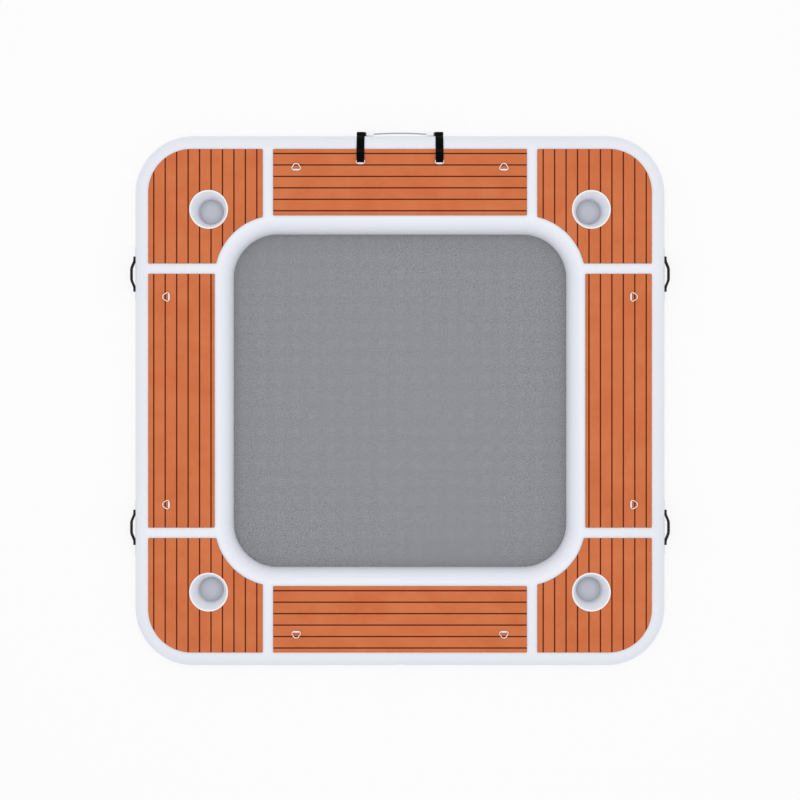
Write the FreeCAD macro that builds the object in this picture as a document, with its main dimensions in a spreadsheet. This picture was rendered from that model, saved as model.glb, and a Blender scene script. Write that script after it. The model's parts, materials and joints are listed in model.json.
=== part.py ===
import FreeCAD, Part
import math
import os
import re
import Sketcher

# Inflatable floating dock with a mesh floored pool. All lengths are in millimetres.
# Frame: +Z up, +Y towards the side with the boarding bar, +X to its right hand side.
# The origin lies on the ground under the middle of the hull.

document = FreeCAD.newDocument("Dock")
sheet = document.addObject("Spreadsheet::Sheet", "Sizes")

# Driving dimensions
DRIVING = {
    # Hull: a square ring of drop stitch fabric, with its walls bulged by the air
    "hull_side": 2440,
    "hull_thick": 150,
    "hull_corner": 268,
    "hull_bulge": 68,
    "pool_side": 1535,
    "pool_corner": 203.5,
    "pool_bulge": 72,
    # Foam deck pads and their grooves
    "pad_thick": 6,
    "pad_outer_margin": 2,
    "pad_inner_margin": 7.5,
    "pad_gap_from_bend": 39.6,
    "pad_gap": 47.5,
    "pad_tip_round": 4,
    "plank_pitch": 52.3,
    "plank_margin_side": 25.6,
    "plank_margin_end": 21,
    "groove_wide": 6,
    "groove_deep": 2.5,
    # Cup holders
    "cup_share": 0.335,
    "cup_rim": 177.6,
    "cup_throat": 162,
    "cup_floor": 111,
    "cup_depth": 120,
    "cup_wall": 2.5,
    "cup_lip_rise": 1.2,
    "cup_lip_round": 2.5,
    "cup_flare": 4,
    "cup_floor_round": 5,
    "cup_play": 0.5,
    # Mesh floor and the channel strip round it
    "mesh_height": 14,
    "mesh_thick": 3,
    "mesh_ridge_deep": 0.7,
    "mesh_ridge_wide": 7,
    "mesh_pitch": 51.2,
    "mesh_hole": 30,
    "mesh_play": 0.3,
    "border_inner_margin": 8.5,
    "border_thick": 1.4,
    "border_foot": 7,
    "border_head": 38,
    "border_play": 0.1,
    # Deck rings and the tabs that hold them
    "ring_wire": 5,
    "ring_wide": 43,
    "ring_tall": 33,
    "ring_corner": 6,
    "ring_shoulder": 12,
    "ring_bend": 6,
    "ring_tip_wide": 14,
    "ring_tip_round": 6,
    "ring_from_gap": 129.6,
    "ring_inset": 95.5,
    "ring_play": 0.3,
    "tab_thick": 1.4,
    "tab_play": 0.2,
    "tab_end_play": 0.4,
    "tab_foot": 14,
    "slot_play": 0.3,
    # Side handles
    "handle_share": 0.4787,
    "handle_long": 161.4,
    "handle_grip": 54.8,
    "handle_slope_end": 122.4,
    "handle_reach": 24.4,
    "handle_thick": 9.7,
    "handle_tall": 28,
    "handle_edge_round": 4,
    "handle_bend": 40,
    "handle_play": 0.1,
    "flange_thick": 1.2,
    "flange_long": 30,
    "flange_overlap": 6,
    "patch_thick": 0.9,
    "patch_hem": 12,
    "patch_round": 9,
    "patch_play": 0.3,
    # Boarding bar with its straps
    "strap_spread": 180.6,
    "strap_wide": 36,
    "strap_ply": 1.5,
    "strap_play": 0.3,
    "strap_ring_inset": 66.3,
    "strap_fold_gap": 1,
    "strap_merge": 20,
    "strap_split": 16,
    "bush_wide": 17.6,
    "bush_proud": 7,
    "bush_play": 0.2,
    "sleeve_wide": 20.4,
    "sleeve_long": 35,
    "sleeve_round": 3,
    "rod_wide": 6.4,
    "rod_play": 0.1,
    "rod_head_wide": 13,
    "rod_head_thick": 2,
    "rod_bow": 4,
    "rod_bow_end": 160,
    # Inflation valve, measured outwards from the flange's seat
    "valve_place": 0,
    "valve_sink": 12,
    "valve_flange": 60,
    "valve_flange_thick": 2.5,
    "valve_flange_edge": 1,
    "valve_boss": 43,
    "valve_boss_long": 42,
    "valve_bore": 34,
    "valve_collar_thick": 3.5,
    "valve_play": 0.5,
    "cap_wide": 52,
    "cap_thick": 3.6,
    "cap_edge_round": 1.5,
    "cap_plug": 30,
    "cap_plug_long": 5,
    "cap_plug_wall": 2,
    "cap_rib": 7,
    "cap_grip_wide": 40,
    "cap_grip_deep": 2,
    "cap_play": 0.3,
    "lug_wide": 6,
    "lug_reach": 1.4,
    "lug_thick": 1,
    "lug_play": 0.3,
    "seal_wide": 38,
    "seal_wire": 2,
    "seal_play": 0.1,
    "seat_bore": 22,
    "seat_sink": 22,
    "seat_thick": 2,
    "seat_play": 0.1,
    "spider_sink": 16,
    "spider_thick": 3,
    "spider_arm": 3,
    "spider_hub": 13,
    "stem_wide": 8,
    "stem_play": 0.2,
    "button_wide": 15,
    "button_thick": 2,
    "button_sink": 3,
    "poppet_wide": 27,
    "poppet_thick": 3,
    "spring_wide": 11.5,
    "spring_wire": 1,
    "spring_turns": 3,
    "spring_play": 0.3,
}

# Sizes that follow from the driving ones
DERIVED = {
    "hull_half": "=hull_side / 2",
    "hull_mid": "=hull_thick / 2",
    "hull_flat_half": "=hull_half - hull_bulge",
    "hull_flat_corner": "=hull_corner - hull_bulge",
    "hull_round": "=(hull_mid ^ 2 + hull_bulge ^ 2) / (2 * hull_bulge)",
    "hull_round_out": "=hull_half - hull_round",
    "hull_corner_out": "=hull_half - hull_corner",
    "pool_half": "=pool_side / 2",
    "pool_rim_half": "=pool_half + pool_bulge",
    "pool_rim_corner": "=pool_corner + pool_bulge",
    "pool_round": "=(hull_mid ^ 2 + pool_bulge ^ 2) / (2 * pool_bulge)",
    "pool_round_out": "=pool_half + pool_round",
    "pool_corner_out": "=pool_half - pool_corner",
    "deck_top": "=hull_thick + pad_thick",
    "pad_outer_half": "=hull_flat_half - pad_outer_margin",
    "pad_outer_corner": "=hull_flat_corner - pad_outer_margin",
    "pad_inner_half": "=pool_rim_half + pad_inner_margin",
    "pad_inner_corner": "=pool_rim_corner + pad_inner_margin",
    "pad_gap_place": "=pool_corner_out + pad_gap_from_bend",
    "pad_side_end": "=pad_gap_place - pad_gap / 2",
    "pad_corner_start": "=pad_gap_place + pad_gap / 2",
    "pad_arc_rise": "=sqrt(pad_inner_corner ^ 2 - (pad_corner_start - pool_corner_out) ^ 2)",
    "pad_outer_diagonal": "=hull_corner_out + pad_outer_corner * cos(45)",
    "pad_inner_diagonal": "=pool_corner_out + pad_inner_corner * cos(45)",
    "cup_place": "=pad_inner_diagonal + cup_share * (pad_outer_diagonal - pad_inner_diagonal)",
    "cup_lip": "=deck_top + cup_lip_rise",
    "cup_floor_height": "=cup_lip - cup_depth",
    "border_inner_face": "=pool_round + border_play",
    "border_outer_face": "=border_inner_face + border_thick",
    "border_mesh_half": "=pool_round_out"
    " - sqrt(border_outer_face ^ 2 - (hull_mid - mesh_height - mesh_thick) ^ 2)",
    "mesh_half": "=border_mesh_half - mesh_play",
    "mesh_corner": "=mesh_half - pool_corner_out",
    "border_edge": "=pool_half + border_inner_margin",
    "ring_height": "=deck_top + ring_play + ring_wire / 2",
    "ring_place": "=pad_outer_half - ring_inset",
    "ring_spread": "=pad_gap_place - ring_from_gap",
    "ring_half": "=(ring_wide - ring_wire) / 2",
    "ring_reach": "=ring_tall - ring_wire",
    "ring_lean": "=atan2(ring_half - ring_tip_wide / 2; ring_reach - ring_shoulder)",
    "ring_bend_end": "=ring_bend * tan(ring_lean / 2)",
    "ring_tip_end": "=ring_tip_round * (1 - tan(ring_lean / 2)) / (1 + tan(ring_lean / 2))",
    "tab_bore": "=ring_wire / 2 + tab_play",
    "tab_round": "=tab_bore + tab_thick",
    "tab_wide": "=ring_wide - ring_wire - 2 * ring_corner - 2 * tab_end_play",
    "handle_place": "=hull_half * handle_share",
    "strap_ring_place": "=pad_outer_half - strap_ring_inset",
    "strap_ring_height": "=deck_top + 2 * strap_play + strap_ply + ring_wire / 2",
    "handle_out": "=hull_half + handle_reach - handle_thick / 2",
    "handle_rest_out": "=hull_half + handle_play + handle_thick / 2",
    "handle_lean": "=atan2(handle_out - handle_rest_out; (handle_slope_end - handle_grip) / 2)",
    "handle_tangent": "=handle_bend * tan(handle_lean / 2)",
    "flange_face": "=hull_round + handle_play + flange_thick",
    "patch_face": "=flange_face + handle_play + patch_thick",
    "strap_fold": "=ring_wire / 2 + strap_play + strap_ply",
    "strap_eye": "=ring_wire / 2 + strap_play",
    "strap_fold_out": "=strap_ring_place + tab_round + strap_fold_gap + strap_fold",
    "strap_tip": "=strap_ring_place + ring_tall - ring_wire / 2",
    "strap_under": "=deck_top + strap_play",
    "strap_edge_out": "=pad_outer_half + strap_play",
    "strap_in_face": "=hull_round + strap_play",
    "strap_out_face": "=strap_in_face + 2 * strap_ply",
    "strap_lean": "=atan2(strap_under - hull_mid; strap_edge_out - hull_round_out)"
    " - acos(strap_in_face / hypot(strap_under - hull_mid; strap_edge_out - hull_round_out))",
    "strap_loop": "=bush_wide / 2 + bush_play + strap_ply",
    "bar_out": "=hull_round_out + strap_in_face + strap_loop",
    "strap_split_out": "=hull_round_out + strap_out_face * cos(strap_split)",
    "strap_split_up": "=hull_mid + strap_out_face * sin(strap_split)",
    "strap_wrap": "=atan2(strap_split_up - hull_mid; strap_split_out - bar_out)"
    " - acos(strap_loop / hypot(strap_split_up - hull_mid; strap_split_out - bar_out))",
    "sleeve_outer_end": "=strap_spread - strap_wide / 2 - bush_proud",
    "sleeve_inner_end": "=sleeve_outer_end - sleeve_long",
    "rod_turn": "=2 * atan(rod_bow / sleeve_inner_end)",
    "rod_bow_round": "=sleeve_inner_end / sin(rod_turn) - rod_bow_end",
    "cap_low": "=valve_flange_thick + cap_play",
    "cap_high": "=cap_low + cap_thick",
}

aliases = list(DRIVING) + list(DERIVED)
for row, (alias, content) in enumerate({**DRIVING, **DERIVED}.items(), start=1):
    sheet.set(f"A{row}", alias.replace("_", " "))
    sheet.set(f"B{row}", str(content))
    sheet.setAlias(f"B{row}", alias)
document.recompute()

UP = FreeCAD.Vector(0, 0, 1)


def value(expression):
    """Works out an expression of sheet sizes as a plain number."""
    result = sheet.evalExpression(str(expression))
    return float(getattr(result, "Value", result))


def in_sheet(expression):
    """Writes the sheet's name before each size, for use outside the sheet."""
    return re.sub(
        r"[a-z_]+",
        lambda word: f"Sizes.{word[0]}" if word[0] in aliases else word[0],
        str(expression),
    )


def bind(target, **properties):
    """Binds properties, with two underscores for each dot, to expressions of the sheet."""
    for name, expression in properties.items():
        target.setExpression(name.replace("__", "."), in_sheet(expression))


def new_body(label, angle=0, **place):
    """A body named for its file, turned by angle about +Z, at expressions x, y and z."""
    body = document.addObject("PartDesign::Body", "Body_" + label)
    body.Label = label
    body.Placement = FreeCAD.Placement(FreeCAD.Vector(), FreeCAD.Rotation(UP, angle))
    for axis, expression in place.items():
        bind(body, **{f"Placement__Base__{axis}": expression})
    return body


def origin_plane(body, role):
    """The body's own origin plane or axis with this role."""
    return next(item for item in body.Origin.OriginFeatures if item.Role == role)


def new_sketch(body, name, role, lift=0, across=0):
    """An empty sketch on an origin plane, lifted along its normal and moved along its first axis."""
    sketch = body.newObject("Sketcher::SketchObject", name)
    sketch.AttachmentSupport = [(origin_plane(body, role), "")]
    sketch.MapMode = "FlatFace"
    bind(sketch, AttachmentOffset__Base__z=lift, AttachmentOffset__Base__x=across)
    return sketch


def place_point(sketch, index, end, across, up):
    """Ties one end of an edge to expressions of the sheet."""
    for kind, expression in (("DistanceX", across), ("DistanceY", up)):
        constraint = Sketcher.Constraint(kind, -1, 1, index, end, value(expression))
        number = sketch.addConstraint(constraint)
        sketch.setExpression(f"Constraints[{number}]", in_sheet(expression))


def arc_between(start, end, radius, turn):
    """The shorter arc from start to end, turn 1 for anticlockwise and -1 for clockwise."""
    chord = end - start
    rise = math.sqrt(max(radius ** 2 - chord.Length ** 2 / 4, 0))
    left = FreeCAD.Vector(-chord.y, chord.x, 0).normalize()
    centre = (start + end) / 2 + left * rise * turn
    first, last = (start, end) if turn > 0 else (end, start)
    angles = [math.atan2(point.y - centre.y, point.x - centre.x) for point in (first, last)]
    return Part.ArcOfCircle(Part.Circle(centre, UP, radius), *angles)


def outline(body, name, role, corners, arcs=None, lift=0, across=0, closed=True):
    """A sketch through corners given as expressions; arcs gives edge number: (radius, turn)."""
    sketch = new_sketch(body, name, role, lift, across)
    arcs = arcs or {}
    points = [FreeCAD.Vector(value(u), value(v), 0) for u, v in corners]
    count = len(points) if closed else len(points) - 1
    ends = {}
    for index in range(count):
        start, end = points[index], points[(index + 1) % len(points)]
        ends[index] = (1, 2)
        if index in arcs:
            radius, turn = arcs[index]
            sketch.addGeometry(arc_between(start, end, value(radius), turn))
            if turn < 0:
                ends[index] = (2, 1)
        else:
            sketch.addGeometry(Part.LineSegment(start, end))
    joins = count if closed else count - 1
    for index in range(joins):
        following = (index + 1) % count
        sketch.addConstraint(
            Sketcher.Constraint("Coincident", index, ends[index][1], following, ends[following][0])
        )
    for index in range(count):
        place_point(sketch, index, ends[index][0], *corners[index])
    if not closed:
        place_point(sketch, count - 1, ends[count - 1][1], *corners[-1])
    for index, (radius, _) in arcs.items():
        number = sketch.addConstraint(Sketcher.Constraint("Radius", index, value(radius)))
        sketch.setExpression(f"Constraints[{number}]", in_sheet(radius))
    return sketch


def circles(body, name, role, rounds, lift=0, across=0):
    """A sketch of circles, each given as expressions for its centre and radius."""
    sketch = new_sketch(body, name, role, lift, across)
    for index, (u, v, radius) in enumerate(rounds):
        centre = FreeCAD.Vector(value(u), value(v), 0)
        sketch.addGeometry(Part.Circle(centre, UP, value(radius)))
        place_point(sketch, index, 3, u, v)
        number = sketch.addConstraint(Sketcher.Constraint("Radius", index, value(radius)))
        sketch.setExpression(f"Constraints[{number}]", in_sheet(radius))
    return sketch


def rounded_square(half, radius):
    """Corners and arcs of a rounded square about the origin, anticlockwise from the lower right."""
    inner = f"({half} - ({radius}))"
    corners = [
        (half, f"-{inner}"), (half, inner), (inner, half), (f"-{inner}", half),
        (f"-({half})", inner), (f"-({half})", f"-{inner}"),
        (f"-{inner}", f"-({half})"), (inner, f"-({half})"),
    ]
    return corners, {edge: (radius, 1) for edge in (1, 3, 5, 7)}


def rectangle(left, right, low, high):
    """The four corners of a rectangle, anticlockwise."""
    return [(left, low), (right, low), (right, high), (left, high)]


def feature(body, kind, name, profile=None, **bound):
    """Adds a feature of a body, with its bound sizes."""
    made = body.newObject("PartDesign::" + kind, name)
    if profile is not None:
        made.Profile = profile
    bind(made, **bound)
    return made


def pad(body, name, profile, length, symmetric=False, back=False):
    """A pad of a sketch."""
    made = feature(body, "Pad", name, profile, Length=length)
    made.SideType = "Symmetric" if symmetric else "One side"
    made.Reversed = back
    return made


def pocket(body, name, profile, length, symmetric=False, back=False):
    """A pocket, which has to take material away."""
    document.recompute()
    before = body.Shape.Volume
    made = feature(body, "Pocket", name, profile, Length=length)
    made.SideType = "Symmetric" if symmetric else "One side"
    made.Reversed = back
    document.recompute()
    if not made.Shape.Volume < before:
        raise RuntimeError(f"{body.Label}: {name} cuts nothing")
    return made


def turned(body, name, profile, kind="Revolution", angle=360, axis="V_Axis"):
    """A revolution or groove about one of the sketch's own axes."""
    document.recompute()
    made = feature(body, kind, name, profile)
    made.ReferenceAxis = (profile, [axis])
    made.Angle = angle
    return made


def round_about(body, name, originals, count=4):
    """Repeats features evenly round the body's Z axis."""
    made = body.newObject("PartDesign::PolarPattern", name)
    made.Originals = originals
    made.Axis = (origin_plane(body, "Z_Axis"), [""])
    made.Angle = 360
    made.Occurrences = count
    body.Tip = made
    return made


def row_of(body, name, original, role, count, spacing, back=False):
    """Repeats a feature in a straight row along an origin axis."""
    made = body.newObject("PartDesign::LinearPattern", name)
    made.Originals = [original]
    made.Direction = (origin_plane(body, role), [""])
    made.Reversed = back
    made.Mode = "Spacing"
    bind(made, Occurrences=count, Offset=spacing)
    body.Tip = made
    return made


def edges_where(shape, test):
    """Names of a shape's edges whose two ends or centre pass a test."""
    return [f"Edge{number}" for number, edge in enumerate(shape.Edges, start=1) if test(edge)]


def softened(body, kind, name, test, size):
    """A fillet or chamfer on the edges of the body that pass a test."""
    document.recompute()
    base = body.Tip
    made = body.newObject("PartDesign::" + kind, name)
    made.Base = (base, edges_where(base.Shape, test))
    bind(made, **{"Radius" if kind == "Fillet" else "Size": size})
    return made


# Hull


def wall_band(body, name, corners, arcs, straight, axis_out):
    """One closed section carried along four straight walls and round four corners."""
    side_sketch = outline(body, name + "SideSection", "XZ_Plane", corners, arcs)
    side = pad(body, name + "Side", side_sketch, f"2 * {straight}", symmetric=True)
    shifted = [(f"{u} - {axis_out}", v) for u, v in corners]
    corner_sketch = outline(
        body, name + "CornerSection", "XZ_Plane", shifted, arcs,
        lift=f"-{axis_out}", across=axis_out,
    )
    corner = turned(body, name + "Corner", corner_sketch, angle=90)
    return round_about(body, name + "Round", [side, corner])


def cup_profile(play):
    """The outside of the cup below its flange, as (radius, height) pairs, grown by a play."""
    return {
        "top": (f"cup_throat / 2 + cup_wall + {play}", "hull_thick"),
        "foot": (f"cup_floor / 2 + cup_wall + {play}", f"cup_floor_height - cup_wall - {play}"),
    }


def build_hull():
    """The sealed air chamber: flat top and bottom, bulged walls, cup wells and the valve's bore."""
    body = new_body("hull")
    square, arcs = rounded_square("hull_flat_half", "hull_flat_corner")
    pad(body, "FlatHull", outline(body, "FlatOutline", "XY_Plane", square, arcs), "hull_thick")
    wall = [
        ("hull_flat_half - hull_bulge", "0"), ("hull_flat_half", "0"), ("hull_half", "hull_mid"),
        ("hull_flat_half", "hull_thick"), ("hull_flat_half - hull_bulge", "hull_thick"),
    ]
    bulge = {1: ("hull_round", 1), 2: ("hull_round", 1)}
    wall_band(body, "Wall", wall, bulge, "hull_corner_out", "hull_corner_out")

    square, arcs = rounded_square("pool_rim_half", "pool_rim_corner")
    opening = outline(body, "PoolOutline", "XY_Plane", square, arcs)
    pocket(body, "Pool", opening, "hull_thick", back=True)
    wall = [
        ("pool_rim_half + pool_bulge", "0"), ("pool_rim_half + pool_bulge", "hull_thick"),
        ("pool_rim_half", "hull_thick"), ("pool_half", "hull_mid"), ("pool_rim_half", "0"),
    ]
    bulge = {2: ("pool_round", 1), 3: ("pool_round", 1)}
    wall_band(body, "Rim", wall, bulge, "pool_corner_out", "pool_corner_out")

    well = cup_profile("cup_play")
    section = outline(
        body, "WellSection", "XZ_Plane",
        [("0", well["foot"][1]), well["foot"], well["top"], ("0", "hull_thick")],
        lift="-cup_place", across="cup_place",
    )
    groove = turned(body, "Well", section, kind="Groove")
    round_about(body, "Wells", [groove])

    face = circles(
        body, "ValveSeatOutline", "XZ_Plane",
        [("valve_place", "hull_mid", "valve_flange / 2 + valve_play")], lift="hull_half",
    )
    pocket(body, "ValveSeat", face, "valve_sink")
    bore = circles(
        body, "ValveBoreOutline", "XZ_Plane",
        [("valve_place", "hull_mid", "valve_boss / 2 + valve_play")], lift="hull_half",
    )
    pocket(body, "ValveBore", bore, "valve_sink + valve_boss_long + valve_play")
    return body


# Deck pads


def cut_grooves(body, role, first, count, span):
    """A row of grooves at the pitch of the planks; role is the axis across them."""
    half = "groove_wide / 2"
    if role == "X_Axis":
        corners = rectangle(f"{first} - {half}", f"{first} + {half}", *span)
    else:
        corners = rectangle(*span, f"{first} - {half}", f"{first} + {half}")
    sketch = outline(body, "GrooveOutline", "XY_Plane", corners, lift="deck_top")
    groove = pocket(body, "Groove", sketch, "groove_deep")
    return row_of(body, "Grooves", groove, role, count, "plank_pitch", back=True)


def groove_count(start, margin, end):
    """How many grooves fit between the first one and the far edge of the pad."""
    return f"floor(({start} - {margin} - {end} - groove_wide) / plank_pitch) + 1"


def cut_slot(body, name, across, out):
    """The slot that lets a ring's tab down to the hull, with room below for the tab's foot."""
    half_long = "(tab_wide / 2 + slot_play)"
    cuts = (
        (name, "(tab_round + slot_play)", "deck_top", "pad_thick", False),
        (name + "Foot", "(tab_foot / 2 + slot_play)", "hull_thick", "tab_thick + tab_play", True),
    )
    for cut, half_short, lift, depth, back in cuts:
        corners = rectangle(
            f"{across} - {half_long}", f"{across} + {half_long}",
            f"{out} - {half_short}", f"{out} + {half_short}",
        )
        sketch = outline(body, cut + "Outline", "XY_Plane", corners, lift=lift)
        pocket(body, cut, sketch, depth, back=back)


def build_side_pad(label, angle, margin, slots):
    """A straight pad, drawn as the one on the +Y side and turned to its own side."""
    body = new_body(label, angle)
    corners = rectangle("-pad_side_end", "pad_side_end", "pad_inner_half", "pad_outer_half")
    pad(body, "Sheet", outline(body, "Outline", "XY_Plane", corners, lift="hull_thick"), "pad_thick")
    softened(
        body, "Fillet", "Tips",
        lambda edge: edge.BoundBox.ZLength > edge.BoundBox.DiagonalLength / 2, "pad_tip_round",
    )
    cut_grooves(
        body, "Y_Axis", f"(pad_outer_half - {margin})",
        groove_count("pad_outer_half", margin, "pad_inner_half"),
        ("-pad_side_end - pad_gap / 4", "pad_side_end + pad_gap / 4"),
    )
    for number, (across, out) in enumerate(slots, start=1):
        cut_slot(body, f"TabSlot{number}", across, out)
    return body


def build_corner_pad(label, angle, grooves_along_y):
    """A corner pad, drawn as the one at +X +Y and turned to its own corner."""
    body = new_body(label, angle)
    start, outer = "pad_corner_start", "pad_outer_half"
    straight = "(pad_outer_half - pad_outer_corner)"
    arc_end = "(pool_corner_out + pad_arc_rise)"
    corners = [
        (start, arc_end), (arc_end, start), (outer, start),
        (outer, straight), (straight, outer), (start, outer),
    ]
    arcs = {0: ("pad_inner_corner", -1), 3: ("pad_outer_corner", 1)}
    sketch = outline(body, "Outline", "XY_Plane", corners, arcs, lift="hull_thick")
    pad(body, "Sheet", sketch, "pad_thick")
    limit = value("hull_corner_out")
    softened(
        body, "Fillet", "Tips",
        lambda edge: edge.BoundBox.ZLength > edge.BoundBox.DiagonalLength / 2
        and min(edge.BoundBox.XMin, edge.BoundBox.YMin) < limit
        and abs(edge.BoundBox.XMin - value(straight)) > 1
        and abs(edge.BoundBox.YMin - value(straight)) > 1,
        "pad_tip_round",
    )
    role = "X_Axis" if grooves_along_y else "Y_Axis"
    cut_grooves(
        body, role, "(pad_outer_half - plank_margin_side)",
        groove_count("pad_outer_half", "plank_margin_side", start),
        (f"{start} - pad_gap / 4", f"{outer} + pad_gap / 4"),
    )
    hole = circles(
        body, "CupHoleOutline", "XY_Plane",
        [("cup_place", "cup_place", "cup_rim / 2 + cup_play")], lift="deck_top",
    )
    pocket(body, "CupHole", hole, "pad_thick")
    return body


# Cup holders


def build_cup(label, sign_x, sign_y):
    """A moulded tapered cup that hangs by its rounded flange."""
    body = new_body(label, x=f"{sign_x} * cup_place", y=f"{sign_y} * cup_place")
    outside = cup_profile("0")
    rim, lip = "cup_rim / 2", "cup_lip"
    shoulder = f"({rim} - cup_lip_round)"
    throat = f"({shoulder} - cup_flare)"
    floor = "cup_floor / 2"
    corners = [
        ("0", outside["foot"][1]), outside["foot"], outside["top"], (rim, "hull_thick"),
        (rim, f"{lip} - cup_lip_round"), (shoulder, lip), (throat, f"{lip} - cup_flare"),
        (floor, "cup_floor_height + cup_floor_round"),
        (f"{floor} - cup_floor_round", "cup_floor_height"), ("0", "cup_floor_height"),
    ]
    arcs = {
        4: ("cup_lip_round", 1), 5: ("cup_flare", 1), 7: ("cup_floor_round", -1),
    }
    section = outline(body, "Section", "XZ_Plane", corners, arcs)
    turned(body, "Cup", section)
    return body


# Mesh floor and its border


def build_mesh_floor():
    """The mesh panel: crossed ridges on its two faces and a grid of gaps between them."""
    body = new_body("mesh_floor")
    square, arcs = rounded_square("mesh_half", "mesh_corner")
    sketch = outline(body, "Outline", "XY_Plane", square, arcs, lift="mesh_height")
    pad(body, "Panel", sketch, "mesh_thick")
    count = "floor(mesh_half / mesh_pitch) * 2 + 1"
    first = "(-floor(mesh_half / mesh_pitch) * mesh_pitch)"
    half = "(mesh_pitch - mesh_ridge_wide) / 2"
    run = ("-mesh_half - mesh_pitch", "mesh_half + mesh_pitch")
    upper = outline(
        body, "UpperFurrowOutline", "XY_Plane",
        rectangle(f"{first} - {half}", f"{first} + {half}", *run),
        lift="mesh_height + mesh_thick",
    )
    furrow = pocket(body, "UpperFurrow", upper, "mesh_ridge_deep")
    row_of(body, "UpperFurrows", furrow, "X_Axis", count, "mesh_pitch")
    lower = outline(
        body, "LowerFurrowOutline", "XY_Plane",
        rectangle(*run, f"{first} - {half}", f"{first} + {half}"), lift="mesh_height",
    )
    furrow = pocket(body, "LowerFurrow", lower, "mesh_ridge_deep", back=True)
    row_of(body, "LowerFurrows", furrow, "Y_Axis", count, "mesh_pitch")
    grid = "floor((mesh_half / mesh_pitch - 1) / 3)"
    corner = f"(-{grid} * 3 * mesh_pitch)"
    hole_sketch = outline(
        body, "HoleOutline", "XY_Plane",
        rectangle(
            f"{corner} - mesh_hole / 2", f"{corner} + mesh_hole / 2",
            f"{corner} - mesh_hole / 2", f"{corner} + mesh_hole / 2",
        ),
        lift="mesh_height + mesh_thick",
    )
    hole = pocket(body, "Hole", hole_sketch, "mesh_thick")
    grid_pattern = row_of(body, "Holes", hole, "X_Axis", f"{grid} * 2 + 1", "3 * mesh_pitch")
    grid_pattern.Direction2 = (origin_plane(body, "Y_Axis"), [""])
    grid_pattern.Mode2 = "Extent"
    bind(grid_pattern, Occurrences2=f"{grid} * 2 + 1", Length2=f"{grid} * 2 * 3 * mesh_pitch")
    return body


def on_pool_wall(face, height):
    """How far out a face round the pool wall's own centre lies at a height."""
    return f"(pool_round_out - sqrt({face} ^ 2 - (hull_mid - ({height})) ^ 2))"


def build_mesh_border():
    """The strip welded to the lower inner wall, with two lips that hold the mesh's edge."""
    body = new_body("mesh_border")
    mesh_low, mesh_high = "(mesh_height - border_play)", "(mesh_height + mesh_thick + border_play)"
    lip_low, lip_high = f"({mesh_low} - border_thick)", f"({mesh_high} + border_thick)"
    inner, outer, edge = "border_inner_face", "border_outer_face", "border_edge"
    corners = [
        (on_pool_wall(inner, "border_foot"), "border_foot"),
        (on_pool_wall(inner, "border_head"), "border_head"),
        (on_pool_wall(outer, "border_head"), "border_head"),
        (on_pool_wall(outer, lip_high), lip_high), (edge, lip_high), (edge, mesh_high),
        (on_pool_wall(outer, mesh_high), mesh_high), (on_pool_wall(outer, mesh_low), mesh_low),
        (edge, mesh_low), (edge, lip_low), (on_pool_wall(outer, lip_low), lip_low),
        (on_pool_wall(outer, "border_foot"), "border_foot"),
    ]
    arcs = {0: (inner, -1), 2: (outer, 1), 6: (outer, 1), 10: (outer, 1)}
    wall_band(body, "Strip", corners, arcs, "pool_corner_out", "pool_corner_out")
    return body


# Deck rings and tabs


def build_ring(label, angle, x, y, z):
    """A ring of round wire, its bar along the body's X axis, its sides leaning to a blunt tip at +Y."""
    body = new_body(label, angle, x=x, y=y, z=z)
    bend, tip = "ring_bend_end", "ring_tip_end"
    right = [
        ("ring_half - ring_corner", "0"), ("ring_half", "ring_corner"),
        ("ring_half", f"ring_shoulder - {bend}"),
        (f"ring_half - {bend} * sin(ring_lean)", f"ring_shoulder + {bend} * cos(ring_lean)"),
        (f"ring_tip_wide / 2 + {tip} * sin(ring_lean)", f"ring_reach - {tip} * cos(ring_lean)"),
        (f"ring_tip_wide / 2 - {tip}", "ring_reach"),
    ]
    left = [(f"-({across})", up) for across, up in reversed(right)]
    corners = [("0", "0"), *right, *left]
    arcs = {
        1: ("ring_corner", 1), 3: ("ring_bend", 1), 5: ("ring_tip_round", 1),
        7: ("ring_tip_round", 1), 9: ("ring_bend", 1), 11: ("ring_corner", 1),
    }
    path = outline(body, "WirePath", "XY_Plane", corners, arcs)
    section = circles(body, "WireSection", "YZ_Plane", [("0", "0", "ring_wire / 2")])
    wire = feature(body, "AdditivePipe", "Wire", section)
    wire.Spine = path
    return body


def build_tab(label, angle, x, y, axis_height):
    """A PVC loop round a ring's bar: two plies that go down and turn out on the hull."""
    body = new_body(label, angle, x=x, y=y)
    top = f"{axis_height} + tab_round"
    joint = f"({axis_height} - sqrt(tab_round ^ 2 - tab_thick ^ 2))"
    foot, ply = "tab_foot / 2", "hull_thick + tab_thick"
    corners = [
        (f"-{foot}", "hull_thick"), (foot, "hull_thick"), (foot, ply), ("tab_thick", ply),
        ("tab_thick", joint), ("tab_round", axis_height), ("0", top),
        ("-tab_round", axis_height), ("-tab_thick", joint), ("-tab_thick", ply), (f"-{foot}", ply),
    ]
    arcs = {edge: ("tab_round", 1) for edge in (4, 5, 6, 7)}
    section = outline(body, "Section", "YZ_Plane", corners, arcs)
    pad(body, "Loop", section, "tab_wide", symmetric=True)
    bore = circles(body, "BoreOutline", "YZ_Plane", [("0", axis_height, "tab_bore")])
    pocket(body, "Bore", bore, "tab_wide", symmetric=True)
    return body


# Side handles and their patches


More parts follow.
